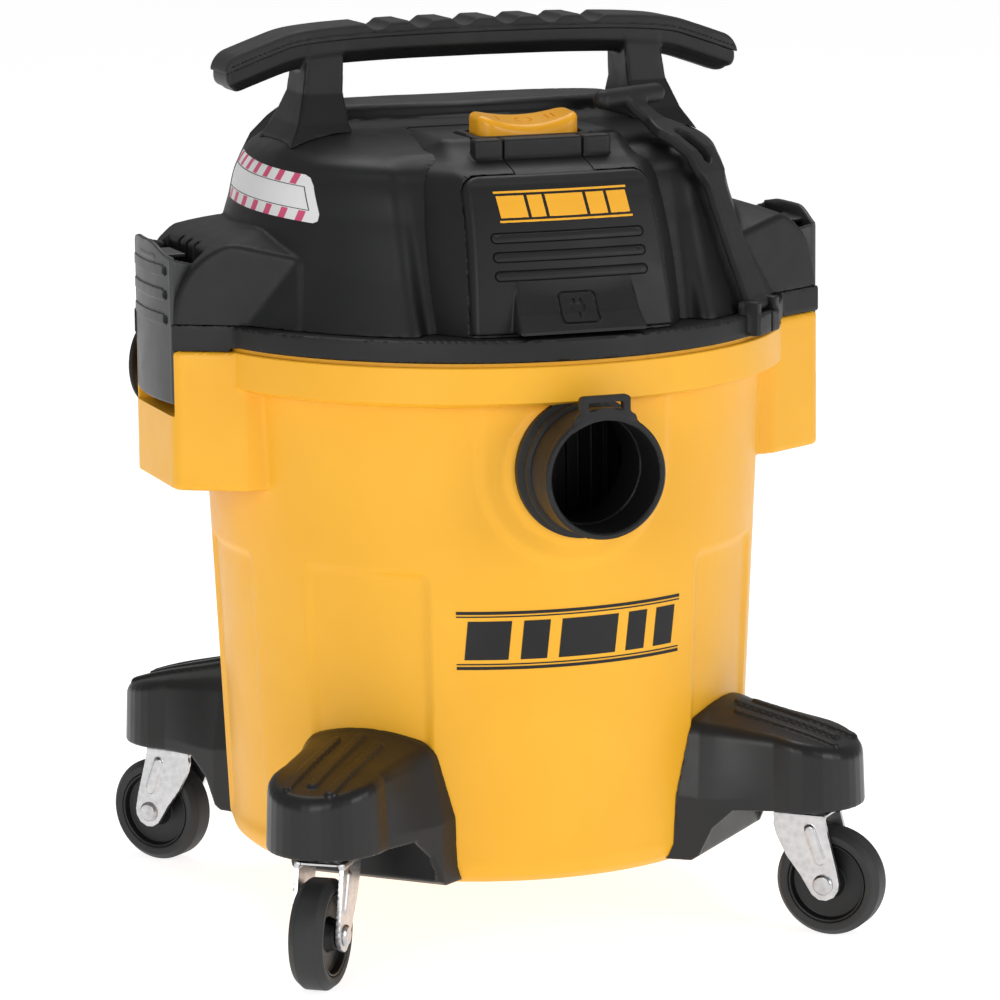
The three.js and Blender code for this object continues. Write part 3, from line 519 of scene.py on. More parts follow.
PORT_BORE = 30.2


def port_field(x, y, z):
    """The hose port: a stepped tube with a loop on top for a cap's tether."""
    profile = [(PORT_BORE, 139), (33.6, 139), (33.6, 150), (36.6, 150.5), (36.6, 158), (38.2, 159.5),
               (38.2, 163.5), (34.6, 165), (34.6, 168), (36, 168.6), (36, 171.6), (34.2, 172.4), (33, 189.5),
               (33.6, 190.3), (33.6, 194.3), (32.6, 195.5), (31.2, 195.5), (PORT_BORE, 194.5),
               (PORT_BORE, 168), (29.4, 167.4), (29.4, 165), (PORT_BORE, 164.4)]
    body = outline(np.hypot(x, z - PORT_Z), -y, profile)
    frame_outer = block(x, z, y, -14.2, 14.2, PORT_Z + 22, PORT_Z + 43, -195.2, -190.5, 1.2)
    frame_outer = both(frame_outer, block(x, z, y, -14.2, 14.2, PORT_Z + 10, PORT_Z + 43, -199, -188, 3.2))
    window = block(x, z, y, -9.8, 9.8, PORT_Z + 34.6, PORT_Z + 39.6, -210, -180, 1.2)
    bore = disc(x, z - PORT_Z, PORT_BORE)
    loop = less(less(frame_outer, window, 0.6), bore)
    flare = both(both(disc(x, z - PORT_Z, 36.5), np.abs(x) - 17.5, 2), slab(y, -195.2, -190.5), 0.8)
    flare = less(both(flare, PORT_Z + 20 - z, 1), bore)
    tab = block(x, z, y, -4.5, 4.5, PORT_Z - 36, PORT_Z - 30.4, -178, -171, 1.0)
    return union(union(union(body, loop, 1.0), flare, 1.0), tab, 0.6)


# ---- Feet and casters ----

FOOT_SIDE = [(100, 45), (146, 45), (150, 47.5), (157, 63), (168, 73.5), (240, 73.5), (240, 150), (100, 150)]
FOOT_TOP = Curve([[100, 129.5], [146, 127.6], [150, 126.4], [219, 108.5], [227, 105], [240, 97]])
STEM_R = 194.9


def foot_plan(u, v, tip=33.0):
    """Half of the foot's outline seen from above, mirrored about its middle line."""
    v = np.abs(v)
    angle = np.linspace(1.42, 0, 9)
    arc = [(STEM_R + tip * math.cos(a), tip * math.sin(a)) for a in angle]
    points = [(90, -70), (90, 53), (112, 52), (150, 46), (STEM_R - 6, tip)] + arc + [(STEM_R + tip, -70)]
    return outline(u, v, points)


def foot_body(u, v, z, inset=0.0, cut_below=True):
    """The foot as a solid: u runs away from the drum's middle and v across."""
    top = z - FOOT_TOP(u) + inset
    crown = 9.5 * (v / 40) ** 2 * (1 - smooth((u - 150) / 60) * 0.72)
    lid = (top + crown) * 0.9
    plan = foot_plan(u, v) + inset
    lean = 8.5 * np.clip(1 + (top + crown) / 34, 0, 1.2) * (1 - 0.85 * smooth((u - 155) / 45))
    body = both(plan + lean, lid, 5.0)
    return both(body, outline(u, z, FOOT_SIDE), 1.5) if cut_below else body


def foot_field(u, v, z):
    body = foot_body(u, v, z)
    for offset in (-12.5, 0.5, 13.5):
        bar = np.hypot(np.maximum(np.abs(u - 184 - abs(offset) * 0.4) - 28, 0), (v - offset)) - 3.0
        proud = both(bar, body - 1.5, 1.0)
        body = union(body, both(proud, -(body + 3)), 0.8)
    body = less(body, both(foot_body(u, v, z, 3.4, False), 150 - u, 2.0), 1.0)
    socket = less(both(disc(u, v, 11, STEM_R), slab(z, 76, 96)), disc(u, v, 6, STEM_R))
    return union(body, socket, 1.0)


def foot_shape():
    def field(u, v, z):
        angle = math.radians(-45)
        x = u * math.cos(angle) - v * math.sin(angle)
        y = u * math.sin(angle) + v * math.cos(angle)
        return both(foot_field(u, v, z), 0.35 - drum_outside(x, y, z))
    return mesh_of(field, (100, -58, 40), (232, 58, 134), 1.05)


FORK_LEG = [(-13, 68.5), (-13.6, 62), (-12, 56), (-6, 44.5), (2, 34.5), (6.4, 27.6), (9, 23.6), (13, 21),
            (17.5, 20.8), (22, 23), (24.6, 27), (25.2, 31), (23.4, 40), (18.6, 58), (16, 68.5)]
AXLE = (15.6, 29.9)


def fork_field(x, y, z):
    side = np.abs(y)
    leg = both(outline(x, z, FORK_LEG) + 0.6, slab(side, 11.5, 13.5)) - 0.3
    plate = block(x, y, z, -13.2, 16, -13.5, 13.5, 66.5, 68.5, 0.7)
    body = union(leg, plate, 1.5)
    dish = disc(x, y, 9.5)
    body = union(body, both(dish, slab(z, 66.5, 68.5), 0.3), 0.2)
    rib_line, _ = path_distance(x, z, [(8.0, 60.0), (14.0, 44.0)])
    rib = both(rib_line - 3.0, slab(side, 12, 15.0), 1.2)
    body = union(body, rib, 0.8)
    return less(body, disc(x, z, 3.3, *AXLE))


def caster_shapes():
    fork = mesh_of(fork_field, (-16, -16, 18), (28, 16, 71), 0.75)
    tyre = rounded(mirrored([(22.4, -8.9), (26.6, -9.6), (29.9, -5.4)]), 1.6, 5)
    hub = rounded(mirrored([(3.4, -10.1), (7.6, -10.1), (8.4, -7.2), (9.6, -4.2), (20.2, -4.6), (20.9, -8.4),
                            (22.1, -8.8)]), 0.7, 3)
    axle = rounded(mirrored([(0.02, -16.0), (4.6, -15.8), (5.8, -14.6), (5.8, -13.8), (3.0, -13.8)]), 0.5, 3)
    stem = rounded([(0.02, 68.8), (8.4, 68.8), (8.4, 71.7), (5.6, 71.9), (5.6, 92), (0.02, 92)], 0.5, 3)
    return {"caster_fork": fork, "caster_tyre": on_axle(lathe(tyre)), "caster_hub": on_axle(lathe(hub)),
            "caster_axle": on_axle(lathe(axle, 32)), "caster_stem": lathe(stem, 32)}


def on_axle(shape):
    """A turned shape laid along y, with its middle on the caster's axle."""
    points = shape[0][:, [0, 2, 1]]
    return points + np.array([AXLE[0], 0, AXLE[1]]), shape[1][:, ::-1]


CASTER_LOOK = {"caster_fork": (ZINC, "zinc", "caster"), "caster_tyre": (TYRE, "tyre_rubber", "wheel"),
               "caster_hub": (HUB, "hub_grey", "wheel"), "caster_axle": (STEEL, "steel", "caster"),
               "caster_stem": (STEEL, "steel", "caster")}


def feet_and_casters():
    foot = foot_shape()
    shapes = caster_shapes()
    for corner, angle in CORNERS.items():
        piece(f"foot_shell_{corner}", turned(foot, angle), "root", FOOT_BLACK,
              [f"foot_{corner}"])
        a = math.radians(angle)
        place = (STEM_R * math.cos(a), STEM_R * math.sin(a), 0)
        for part, shape in shapes.items():
            look, slot, group = CASTER_LOOK[part]
            piece(f"{part}_skin_{corner}", turned(shape, TURN[corner], place), f"{group}_{corner}", look,
                  [f"{part}_{corner}"])


# ---- Printed marks, and the drum's pieces ----

def wrap(outside, angle, z, proud):
    """Points on a body's outside, proud of it, at angles in degrees from the front towards +X."""
    a = np.radians(angle)
    way = np.stack([np.sin(a), -np.cos(a)], -1)
    near, far = np.full(a.shape, 60.0), np.full(a.shape, 200.0)
    for _ in range(30):
        r = (near + far) / 2
        out = outside(r * way[..., 0], r * way[..., 1], z) > 0
        near, far = np.where(out, near, r), np.where(out, r, far)
    r = near + proud
    return np.stack([r * way[..., 0], r * way[..., 1], z], -1)


def decal(outside, corners, proud=0.25, count=(24, 6)):
    """A thin printed patch between four [angle, z] corners, laid on a body."""
    s, t = np.meshgrid(np.linspace(0, 1, count[0]), np.linspace(0, 1, count[1]), indexing="ij")
    c = np.array(corners, float)
    flat = ((1 - s) * (1 - t))[..., None] * c[0] + (s * (1 - t))[..., None] * c[1]
    flat = flat + (s * t)[..., None] * c[2] + ((1 - s) * t)[..., None] * c[3]
    top = wrap(outside, flat[..., 0], flat[..., 1], proud).reshape(-1, 3)
    low = wrap(outside, flat[..., 0], flat[..., 1], proud - 0.5).reshape(-1, 3)
    n, m = count
    face = grid_faces(n, m)
    rim = [k * m for k in range(n)] + [(n - 1) * m + k for k in range(1, m)]
    rim += [k * m + m - 1 for k in range(n - 2, -1, -1)] + list(range(m - 2, 0, -1))
    rim = np.array(rim)
    side = np.stack([rim, rim + n * m, np.roll(rim, -1) + n * m, np.roll(rim, -1)], -1)
    return np.concatenate([top, low]), np.concatenate([face, face[:, ::-1] + n * m, side])


def gathered(shapes):
    """Several shapes as one."""
    points, faces, done = [], [], 0
    for p, f in shapes:
        points.append(p)
        faces.append(f + done)
        done += len(p)
    return np.concatenate(points), np.concatenate(faces)


def drum_decal():
    """The printed mark on the drum: plain slanted blocks between two thin bars."""
    low, high, end, slant = 163.0, 195.0, 25.1, 0.8
    bars = [[(-end, z), (end, z), (end, z + 1.7), (-end, z + 1.7)] for z in (low, high - 1.7)]
    bars += [[(-end, z), (end, z), (end, z + 0.7), (-end, z + 0.7)] for z in (low + 2.6, high - 3.3)]
    blocks = []
    for start, width in ((-23.5, 9.0), (-12.0, 5.5), (-4.0, 12.5), (11.0, 4.5), (18.0, 5.0)):
        blocks.append([(start, low + 5.4), (start + width, low + 5.4), (start + width + slant, high - 5.4),
                       (start + slant, high - 5.4)])
    shapes = [decal(drum_outside, corners, count=(60, 3) if i < 4 else (20, 12))
              for i, corners in enumerate(bars + blocks)]
    piece("drum_decal", gathered(shapes), "root", INK, sharp=60)


def drum_pieces():
    shell = mesh_of(drum_field, (-192, -172, 39), (192, 172, 333), 2.0)
    piece("drum_shell", shell, "root", YELLOW, ["drum"])
    piece("drum_rim_band", lathe(BAND_PROFILE, 256), "root", YELLOW, sharp=30)
    drum_decal()
    port = mesh_of(port_field, (-42, -198, 230), (42, -136, 319), 0.95)
    piece("inlet_port_shell", port, "root", BLACK, ["inlet_port"])


# ---- Head: housing ----

HEAD_LOW = 343.5
ROOF = 442.0
TOWER_SIDE = Curve([[343.5, 160], [370, 149], [400, 140], [421, 133.5], [433, 123], [442, 102], [452, 76]])
TOWER_FRONT = Curve([[343.5, 160], [370, 148], [400, 136], [421, 123], [433, 100], [442, 34], [452, 1]])
TOWER_REAR = Curve([[343.5, 160], [370, 148], [400, 136], [421, 125], [433, 106], [442, 80], [452, 60]])
TOWER_POWER = Curve([[343.5, 2], [400, 2], [421, 2.1], [433, 2.4], [442, 2.6]])
BULGE_FRONT = Curve([[343.5, 153.5], [365, 149], [385, 143.5], [400, 138], [412, 132.5], [421, 127],
                     [427, 119], [431, 106], [436, 96], [442, 88], [452, 76]])
BULGE_SIDE = Curve([[343.5, 75], [365, 73], [385, 71], [400, 70], [412, 68.5], [421, 67.5],
                    [427, 65], [431, 62], [436, 58], [442, 50]])
HINGE_Y, HINGE_Z, HINGE_MIDDLE, HINGE_END = -99.0, 437.0, 22.3, 38.6
HINGE_BORE = 2.2
SWITCH_Y = -73.0
BLOWER_Z = 381.0
HOLLOW_TOP = 436.0      # how high the housing is hollow
HUMP_Y, HUMP_TOP = 46.0, 450.5
LEAF_LOW, LEAF_TOP, LEAF_PROUD = 345.0, 425.4, 1.4


def oval(x, y, z, side, front, rear, power):
    """Distance to a wall whose plan is a superellipse that changes with the height."""
    def reach(z):
        a, p = side(z), power(z)
        b = np.where(y < 0, front(z), rear(z))
        return (np.abs(x / a) ** p + np.abs(y / b) ** p) ** (1 / p)
    k = np.maximum(reach(z), 0.05)
    rho = np.hypot(x, y)
    lean = rho / k ** 2 * (reach(z + 0.5) - reach(z - 0.5))
    return (rho - rho / k) / np.sqrt(1 + lean ** 2)


def tower(x, y, z, grow=0.0):
    wall = oval(x, y, z, TOWER_SIDE, TOWER_FRONT, TOWER_REAR, TOWER_POWER) - grow
    return both(wall, z - ROOF - grow, 2.0)


def bay(x, y, z, grow=0.0):
    """The part of the tower's front that is taken out for the bulge."""
    lean = math.radians(19.2)
    back = (y + 127.0) * math.cos(lean) - (z - HEAD_LOW) * math.sin(lean)
    return both(np.abs(x) - 77 - grow, back - grow, 4.0)


def bulge_front(x, y, z, grow=0.0):
    """Distance to the bulge's front face, which bends back towards its sides."""
    bend = 7 * (x / 76) ** 2
    return (-y - BULGE_FRONT(z) + bend) / np.sqrt(1 + BULGE_FRONT.slope(z) ** 2) - grow


def leaf_half(z):
    """Half the width of the bulge's front face, which the cover fills."""
    return 55 - (z - LEAF_LOW) * 4.5 / 76


def cheek(x, y, z):
    """Distance to the slanted faces on both sides of the bulge's front."""
    return ((np.abs(x) - leaf_half(z)) * 23 - (y + BULGE_FRONT(z) - 3.2) * 14) / 27


def bulge(x, y, z, grow=0.0):
    body = both(bulge_front(x, y, z, grow), cheek(x, y, z) - grow, 2.0)
    body = both(body, np.abs(x) - BULGE_SIDE(z) - grow, 2.0)
    return both(body, both(y + 20, z - ROOF - grow), 2.0)


def hump(x, y, z, grow=0.0):
    """The rounded bar that stands on the roof behind the handle's posts."""
    scale = np.interp(z, [425, 440, 447, 450.5], [1.08, 1, 0.96, 0.9]).astype(z.dtype)
    k = ((np.abs(x) / (106 * scale)) ** 2.5 + (np.abs(y - HUMP_Y) / (26 * scale)) ** 2.5) ** 0.4
    wall = np.hypot(x, y - HUMP_Y) * (1 - 1 / np.maximum(k, 0.05)) * 0.8 - grow
    return both(wall, z - HUMP_TOP - grow, 4.0)


DOME = [(100, 340), (188.5, 340), *bezier((188.5, 343.5), (186.3, 372), (172, 388), (140, 393)), (100, 394)]
WING_X, WING_Y = 153.5, 57.2


def wings(x, y, z):
    """The two domes beside the latches. A slanted face meets a second one, which leans in, at a crease."""
    side, across = np.abs(x), np.abs(y)
    face = 0.505 * (side - WING_X) + 0.863 * (across - WING_Y)
    flank = 0.793 * (side - WING_X) + 0.503 * (across - WING_Y) + 0.345 * (z - HEAD_LOW)
    end = 0.336 * (across - 90) - 0.94 * (side - 132.7)
    wall = both(union(face, flank, 1.0), side - 188.7, 1.5)
    body = both(both(outline(side, z, DOME), end, 8.0), wall, 2.5)
    body = both(body, 0.35 * (across - 36) + 0.937 * (z - 393.5), 2.5)
    slot = block(side, y, z, 169, 210, -35.4, 35.4, 330, 410, 2.0)
    body = less(body, slot, 0.9)
    louvre = np.abs((y + 7) % 14 - 7) - 2.2
    grooves = both(both(louvre, slab(z, 352, 384)), both(slab(side, 165.5, 171), np.abs(y) - 25))
    return less(body, grooves, 0.3)


def knuckle(x, y, z, x0, x1):
    """A stretch of the bar that the cover's hinge runs in."""
    return block(x, y, z, x0, x1, HINGE_Y - 5.6, HINGE_Y + 4.4, HINGE_Z - 5.6, HINGE_Z + 5.6, 1.8)


def cover_plan(x, z, margin=0.0):
    """The cover's outline as seen from the front: the whole face of the bulge, and a neck up to the hinge."""
    corner = np.abs(x) - leaf_half(z) - 2.5
    panel = both(corner, z - LEAF_TOP - margin, 9.0)
    panel = both(panel, LEAF_LOW - margin - z)
    neck = both(np.abs(x) - HINGE_MIDDLE - margin, slab(z, 420, 460))
    return np.minimum(panel, neck)


def front_field(x, y, z):
    """The front of the housing: the bulge with the hinge's outer knuckles and the recess under the cover."""
    face = bulge_front(x, y, z)
    body = less(bulge(x, y, z), both(bulge(x, y, z, -5.0), z - HOLLOW_TOP))
    body = union(body, both(both(cover_plan(x, z, 4.0), bulge(x, y, z)), both(face + 4.2, -face - 9.5)))
    body = both(body, y + 26)
    for side in (-1, 1):
        x0, x1 = sorted((side * (HINGE_MIDDLE + 0.4), side * HINGE_END))
        body = union(body, knuckle(x, y, z, x0, x1), 1.2)
    recess = both(cover_plan(x, z, 0.35), both(-face - 4.2, y + 97))
    body = less(body, recess, 0.3)
    body = less(body, both(disc(y, z, 6.8, HINGE_Y, HINGE_Z), np.abs(x) - HINGE_MIDDLE - 0.4))
    sweep = slab(np.hypot(y - HINGE_Y, z - HINGE_Z), 24.6, 30)
    body = less(body, both(sweep, both(np.abs(x) - 60, both(y + 112, 425 - z))), 0.5)
    return openings(body, x, y, z)


def openings(body, x, y, z):
    """Takes out the holes for the hinge's pin, the switch, the socket, the blower port and the gland."""
    body = less(body, both(disc(y, z, HINGE_BORE, HINGE_Y, HINGE_Z), np.abs(x) - 37.4))
    body = less(body, block(x, y, z, -35.2, 35.2, SWITCH_Y - 18.2, SWITCH_Y + 18.2, 420, 470, 3.0), 0.5)
    socket = socket_frame(x, y, z)
    body = less(body, both(np.hypot(socket[0], socket[1]) - 24.4, slab(socket[2], -30, 20)))
    body = less(body, both(disc(x, z, 34, 0, BLOWER_Z), 100 - y))
    body = less(body, both(disc(x, z, 9.4, 70, 364), 100 - y))
    return both(body, HEAD_LOW - z)


def housing_field(x, y, z):
    """The tower with its hump and wings, and the bay that the bulge stands in."""
    shell = union(less(tower(x, y, z), bay(x, y, z), 12.0), hump(x, y, z), 3.0)
    hollow = less(tower(x, y, z, -5.0), bay(x, y, z, 5.0), 12.0)
    body = union(less(shell, both(hollow, z - HOLLOW_TOP)), wings(x, y, z), 1.5)
    body = less(body, bulge(x, y, z, -1.5))
    return openings(body, x, y, z)


SOCKET_Y, SOCKET_Z, SOCKET_LEAN = -126.5, 386.0, 18.0


def socket_frame(x, y, z):
    """Coordinates of the power socket, with its axis as the third."""
    a = math.radians(90 - SOCKET_LEAN)
    v, w = y - SOCKET_Y, z - SOCKET_Z
    return x, v * math.cos(a) + w * math.sin(a), -v * math.sin(a) + w * math.cos(a)


def socket_field(x, y, z):
    u, v, w = socket_frame(x, y, z)
    body = outline(np.hypot(u, v), w, [(0, -22), (20, -22), (23.6, -8), (23.6, 4.6), (22, 5), (19.4, 5),
                                       (18.6, 4), (18.5, -9), (0, -9)])
    pins = both(disc(np.abs(u), v, 2.6, 9.5), slab(w, -19, 0))
    key = block(u, v, w, -3, 3, 15.5, 19.2, -9, 3.5, 0.6)
    return union(less(body, pins, 0.3), key, 0.4)


# ---- Socket cover ----

BAR_HEIGHTS = (394.3, 384.6, 374.9)
BAR_HALF, BAR_ROUND = 40.4, 16        # half a bar's straight stretch, and the steps round each of its ends


def cover_field(x, y, z):
    """The socket's cover: a leaf, a neck up to its knuckle, and a lip to lift it by."""
    face = bulge_front(x, y, z)
    panel = both(np.abs(x) - 62, slab(z, LEAF_LOW, LEAF_TOP))
    corner = both(np.abs(x) - leaf_half(z) - 2, z - LEAF_TOP, 9.0)
    leaf = both(both(face - LEAF_PROUD, cheek(x, y, z) - 0.5, 1.2), both(panel, corner), 0.9)
    leaf = both(leaf, -face - 3.6)
    neck = both(both(face, -face - 3.6), both(np.abs(x) - HINGE_MIDDLE, both(slab(z, 421, 440), y + 98.6)))
    sweep = both(disc(y, z, 25.2, HINGE_Y, HINGE_Z), HINGE_MIDDLE - np.abs(x))
    leaf = less(union(leaf, neck, 0.6), sweep, 0.5)
    lip_side = [(-140, 373), (-147.4, 371.5), (-151.5, 364), (-156.5, 355.5), (-164.6, 347.2),
                (-164.9, 345.4), (-148, 345.4)]
    lip = both(outline(y, z, lip_side), np.abs(x) - 36.0 + (z - 346) * 0.14, 2.2)
    body = union(leaf, both(lip, -face - 1.0), 1.2)
    body = union(body, knuckle(x, y, z, -HINGE_MIDDLE, HINGE_MIDDLE), 1.0)
    icon = plug_icon(x * 0.82, (z - 357.8) * 1.1)
    body = less(body, both(icon, both(-lip - 0.8, y + 146)), 0.2)
    return less(body, disc(y, z, HINGE_BORE, HINGE_Y, HINGE_Z))


def on_leaf(x, z, proud):
    """Points on the cover's face, or proud of it, above the given x and z."""
    near, far = np.full(x.shape, -100.0), np.full(x.shape, -190.0)
    for _ in range(30):
        y = (near + far) / 2
        out = bulge_front(x, y, z) - LEAF_PROUD > proud
        near, far = np.where(out, near, y), np.where(out, y, far)
    return np.stack([x, near, z], -1)


def leaf_bar(height, profile):
    """A bar with round ends on the cover, from its outline's [margin, proud] steps."""
    turn = np.linspace(-math.pi / 2, math.pi / 2, BAR_ROUND)
    run, rest, flat = np.linspace(-1, 1, 24), np.zeros(24), np.ones(24)
    side = np.concatenate([run, np.ones(BAR_ROUND), run[::-1], -np.ones(BAR_ROUND)])
    out_x = np.concatenate([rest, np.cos(turn), rest, -np.cos(turn)])
    out_z = np.concatenate([-flat, np.sin(turn), flat, -np.sin(turn)])
    rings = [on_leaf(side * BAR_HALF + out_x * margin, height + out_z * margin, proud)
             for margin, proud in profile]
    faces = grid_faces(len(profile), len(side), round_columns=True)
    return np.concatenate(rings), faces[:, [0, 3, 2, 1]]


def leaf_bars():
    """The three bars on the cover, each ringed by a near-black strip whose colour paints the shadow in its
    groove.
    """
    groove = [(0.05, -0.5), (2.9, -0.5), (2.9, 0.06), (2.0, 0.06), (2.0, -0.3), (0.05, -0.3), (0.05, -0.5)]
    bar = [(0.05, -0.4), (2.1, -0.4), (2.1, 0.3), (1.7, 0.6), (1.1, 0.75), (0.05, 0.8), (0.05, -0.4)]
    # The groove strips wear the near-black finish that paints the shadow in the grooves; the bars wear the
    # black plastic.
    for name, profile, look in (("cover_bar_groove_painted_shadows", groove, GROOVE_PAINTED_SHADOW), ("cover_bars", bar, BLACK)):
        shapes = gathered([leaf_bar(height, profile) for height in BAR_HEIGHTS])
        piece(name, shapes, "socket_cover", look, sharp=60)


def plug_icon(u, v):
    """A plain plug in a rounded square: a body, two pins and a lead."""
    border = np.abs(both(np.abs(u) - 8.8, np.abs(v) - 8.8, 2.5) + 0.4) - 0.5
    body = both(np.abs(u) - 3.2, slab(v, -2.2, 2.0), 1.6)
    pins = both(np.abs(np.abs(u) - 1.6) - 0.5, slab(v, 1.5, 4.8))
    lead = both(np.abs(u) - 0.5, slab(v, -5.4, -1.8))
    return np.minimum(np.minimum(border, body), np.minimum(pins, lead))


def badge_field(x, y, z):
    """The gold mark on the cover: plain slanted blocks between two thin bars."""
    face = bulge_front(x, y, z) - LEAF_PROUD
    rise = z - 410
    lean = x + rise * 0.1
    bars = both(np.abs(lean) - 37.5, np.abs(np.abs(rise) - 7.4) - 0.55)
    blocks = both(np.abs(lean) - 36.5, np.abs(rise) - 5.6)
    for at in (-20.5, -10.5, 12.5, 24.5):
        blocks = both(blocks, 0.9 - np.abs(lean - at))
    return both(np.minimum(bars, blocks), both(face - 0.35, -face - 0.8), 0.1)


# ---- Switch ----

def bezel_field(x, y, z):
    """The well round the switch, whose lip is lower in front."""
    across = y - SWITCH_Y
    lip = z - 443.4 - 0.06 * np.minimum(across, 0)
    outer = both(block(x, y, z, -35, 35, SWITCH_Y - 18, SWITCH_Y + 18, 430.2, 470, 7.0), lip, 1.2)
    hole = block(x, y, z, -30.2, 30.2, SWITCH_Y - 14.3, SWITCH_Y + 14.3, 420, 470, 6.0)
    return less(outer, hole, 1.0)


def rocker_field(x, y, z):
    side, across = np.abs(x), y - SWITCH_Y
    middle = 449.0 + 2.4 * across / 13
    top = middle + (453.6 + 0.8 * across / 13 - middle) * (side / 26) ** 2
    plan = block(x, across, z, -28.6, 28.6, -13.3, 13.3, 380, 500, 8.0)
    body = both((z - top) * 0.9, both(plan, 434 - z), 4.2)
    marks = both(np.abs(x + 15) - 0.55, np.abs(across) - 4.2)
    marks = np.minimum(marks, np.abs(disc(x, across, 4.2)) - 0.55)
    marks = np.minimum(marks, both(np.abs(np.abs(x - 15) - 1.7) - 0.55, np.abs(across) - 4.2))
    return less(body, both(marks, top - 0.7 - z), 0.1)


# ---- Handle ----

NOTCHES = (12.5, 37.5, 62.5)
DROOP = Curve([[0, 0], [58, 0.6], [98, 2.6], [112, 4.6], [124, 8.4], [152, 18.4]])
HANDLE_TOP, HANDLE_SPLIT = 500, 491.8      # the frame ends at the split, and the grip starts just above it
POST_LEVELS = [425, 436, 446, 462, 486]


def band(x, y, z, half_y, inset=0.0):
    """The whole handle bar, round at both ends, and the height measured along its droop."""
    side = np.abs(x)
    level = z + DROOP(side)
    steep = 1 + 0.06 * smooth((side - 105) / 20)
    low = 481.2 - 0.6 * smooth((side - 90) / 30)
    bar = both(slab(level, low, HANDLE_TOP) / steep, side - 149.5 + inset, 8.0)
    bevel = (np.abs(y) - half_y + (low + 4.0 - level) * 1.3) / 1.64
    bar = both(bar, np.abs(y) - half_y, 3.0)
    return both(bar, bevel, 1.0), level


def frame_field(x, y, z):
    """The handle's lower half with its two posts, which widen towards the roof."""
    bar, level = band(x, y, z, 14.8, 1.2)
    deep, _ = band(x, y, z + 3.0, 11.0, 4.0)
    bar = union(bar, deep, 0.5)
    half_x = np.interp(z, POST_LEVELS, [22, 18.5, 14.5, 11.4, 10.4]).astype(z.dtype)
    half_y = np.interp(z, POST_LEVELS, [40, 31, 24, 16, 14]).astype(z.dtype)
    middle = np.interp(z, [425, 446, 462, 486], [101, 97, 94.5, 92]).astype(z.dtype)
    u = np.abs(x) - middle
    post = both(both((np.abs(u) - half_x) * 0.93, (np.abs(y) - half_y) * 0.88, 1.6), slab(z, 425, 486))
    body = union(bar, post, 2.0)
    roof = np.minimum(tower(x, y, z, 0.4), hump(x, y, z, 0.5))
    return less(less(body, roof), HANDLE_SPLIT - level)


def grip_field(x, y, z):
    """The soft top of the handle, with cross notches and a line along each side."""
    bar, level = band(x, y, z, 16.5)
    body = both(bar, HANDLE_SPLIT + 0.25 - level, 0.7)
    line = both(np.abs(level - 494.6) - 0.4, 15.6 - np.abs(y))
    body = less(body, line, 0.2)
    for at in NOTCHES:
        notch = np.hypot(np.abs(x) - at, level - 503.8) - 7.9
        body = less(body, notch, 1.0)
    return body


# ---- Latches ----

LATCH_HALF = 34.7
RIB_HEIGHTS = (371.5, 358.5, 345.0)


def latch_field(x, y, z):
    """The right-hand latch: a bowed plate whose sides turn in and follow the dome."""
    share = np.clip(np.abs(y) / LATCH_HALF, 0, 1.1)
    face = (x - 188.3 - 3.6 * (1 - share ** 2)) * 0.98
    top = 385.8 - 6.5 * smooth((-y - 4) / 31) - 2.0 * smooth((y - 20) / 16)
    edge = both(both(np.abs(y) - LATCH_HALF, 176.3 - x), both(z - top, 299.5 - z), 1.2)
    plate = both(both(face, -face - 2.4, 0.5), edge, 0.9)
    inner = np.interp(z, [299, 345, 360, 371, 378, 383], [184, 183.5, 180, 175, 171.5, 173]).astype(z.dtype)
    ear = both(both(slab(np.abs(y), 32.4, LATCH_HALF), face, 0.9), inner - x, 1.0)
    ear = both(ear, both(z - top + 0.6 + 0.25 * (186 - x), 299.5 - z), 3.0)
    body = union(plate, ear, 0.8)
    curl = both(both(slab(x, 174, 192), np.abs(y) - 14), slab(z, 376.5, 378.6), 0.8)
    body = union(body, both(curl, face), 0.8)
    for height in RIB_HEIGHTS:
        bar = pill(y - 4, z - height, 31, 2.7)
        dot = np.hypot((y + 28) * 1.1, z - height) - 2.5
        body = union(body, both(both(bar, np.abs(y) - 32), both(face - 0.8, -face - 1)), 0.9)
        body = less(body, both(dot, -face - 1.6), 0.3)
    heel = block(x, y, z, 176.5, 184, -LATCH_HALF, LATCH_HALF, 299.5, 301.5, 0.6)
    pivot = disc(x, z, 0, LATCH_PIN_X, LATCH_PIN_Z)
    barrel = both(pivot - 5.6, np.abs(y) - 12, 0.8)
    web = block(x, y, z, 178, 184, -1.5, 1.5, 300, 310, 0.4)
    body = union(union(union(body, heel, 0.8), barrel, 0.8), web, 0.5)
    return less(both(body, x - 192.7), pivot - 2.8)


# ---- Deck ----

SKIRT_PLAN = mirrored([(130, -58), (138, -57.4), (154, -56.4), (188.7, -36.6)])
LUG_R, LUG_Z = 166.0, 347.6
DECK_PROFILE = [(74, 312), (77, 312), (77, 338), (159, 338), (159, 322), (162, 322), (162, 331.6),
                (167.8, 331.6), (168.5, 332.4), (168.5, 341.8), (167.2, 343.2), (74, 343.2)]


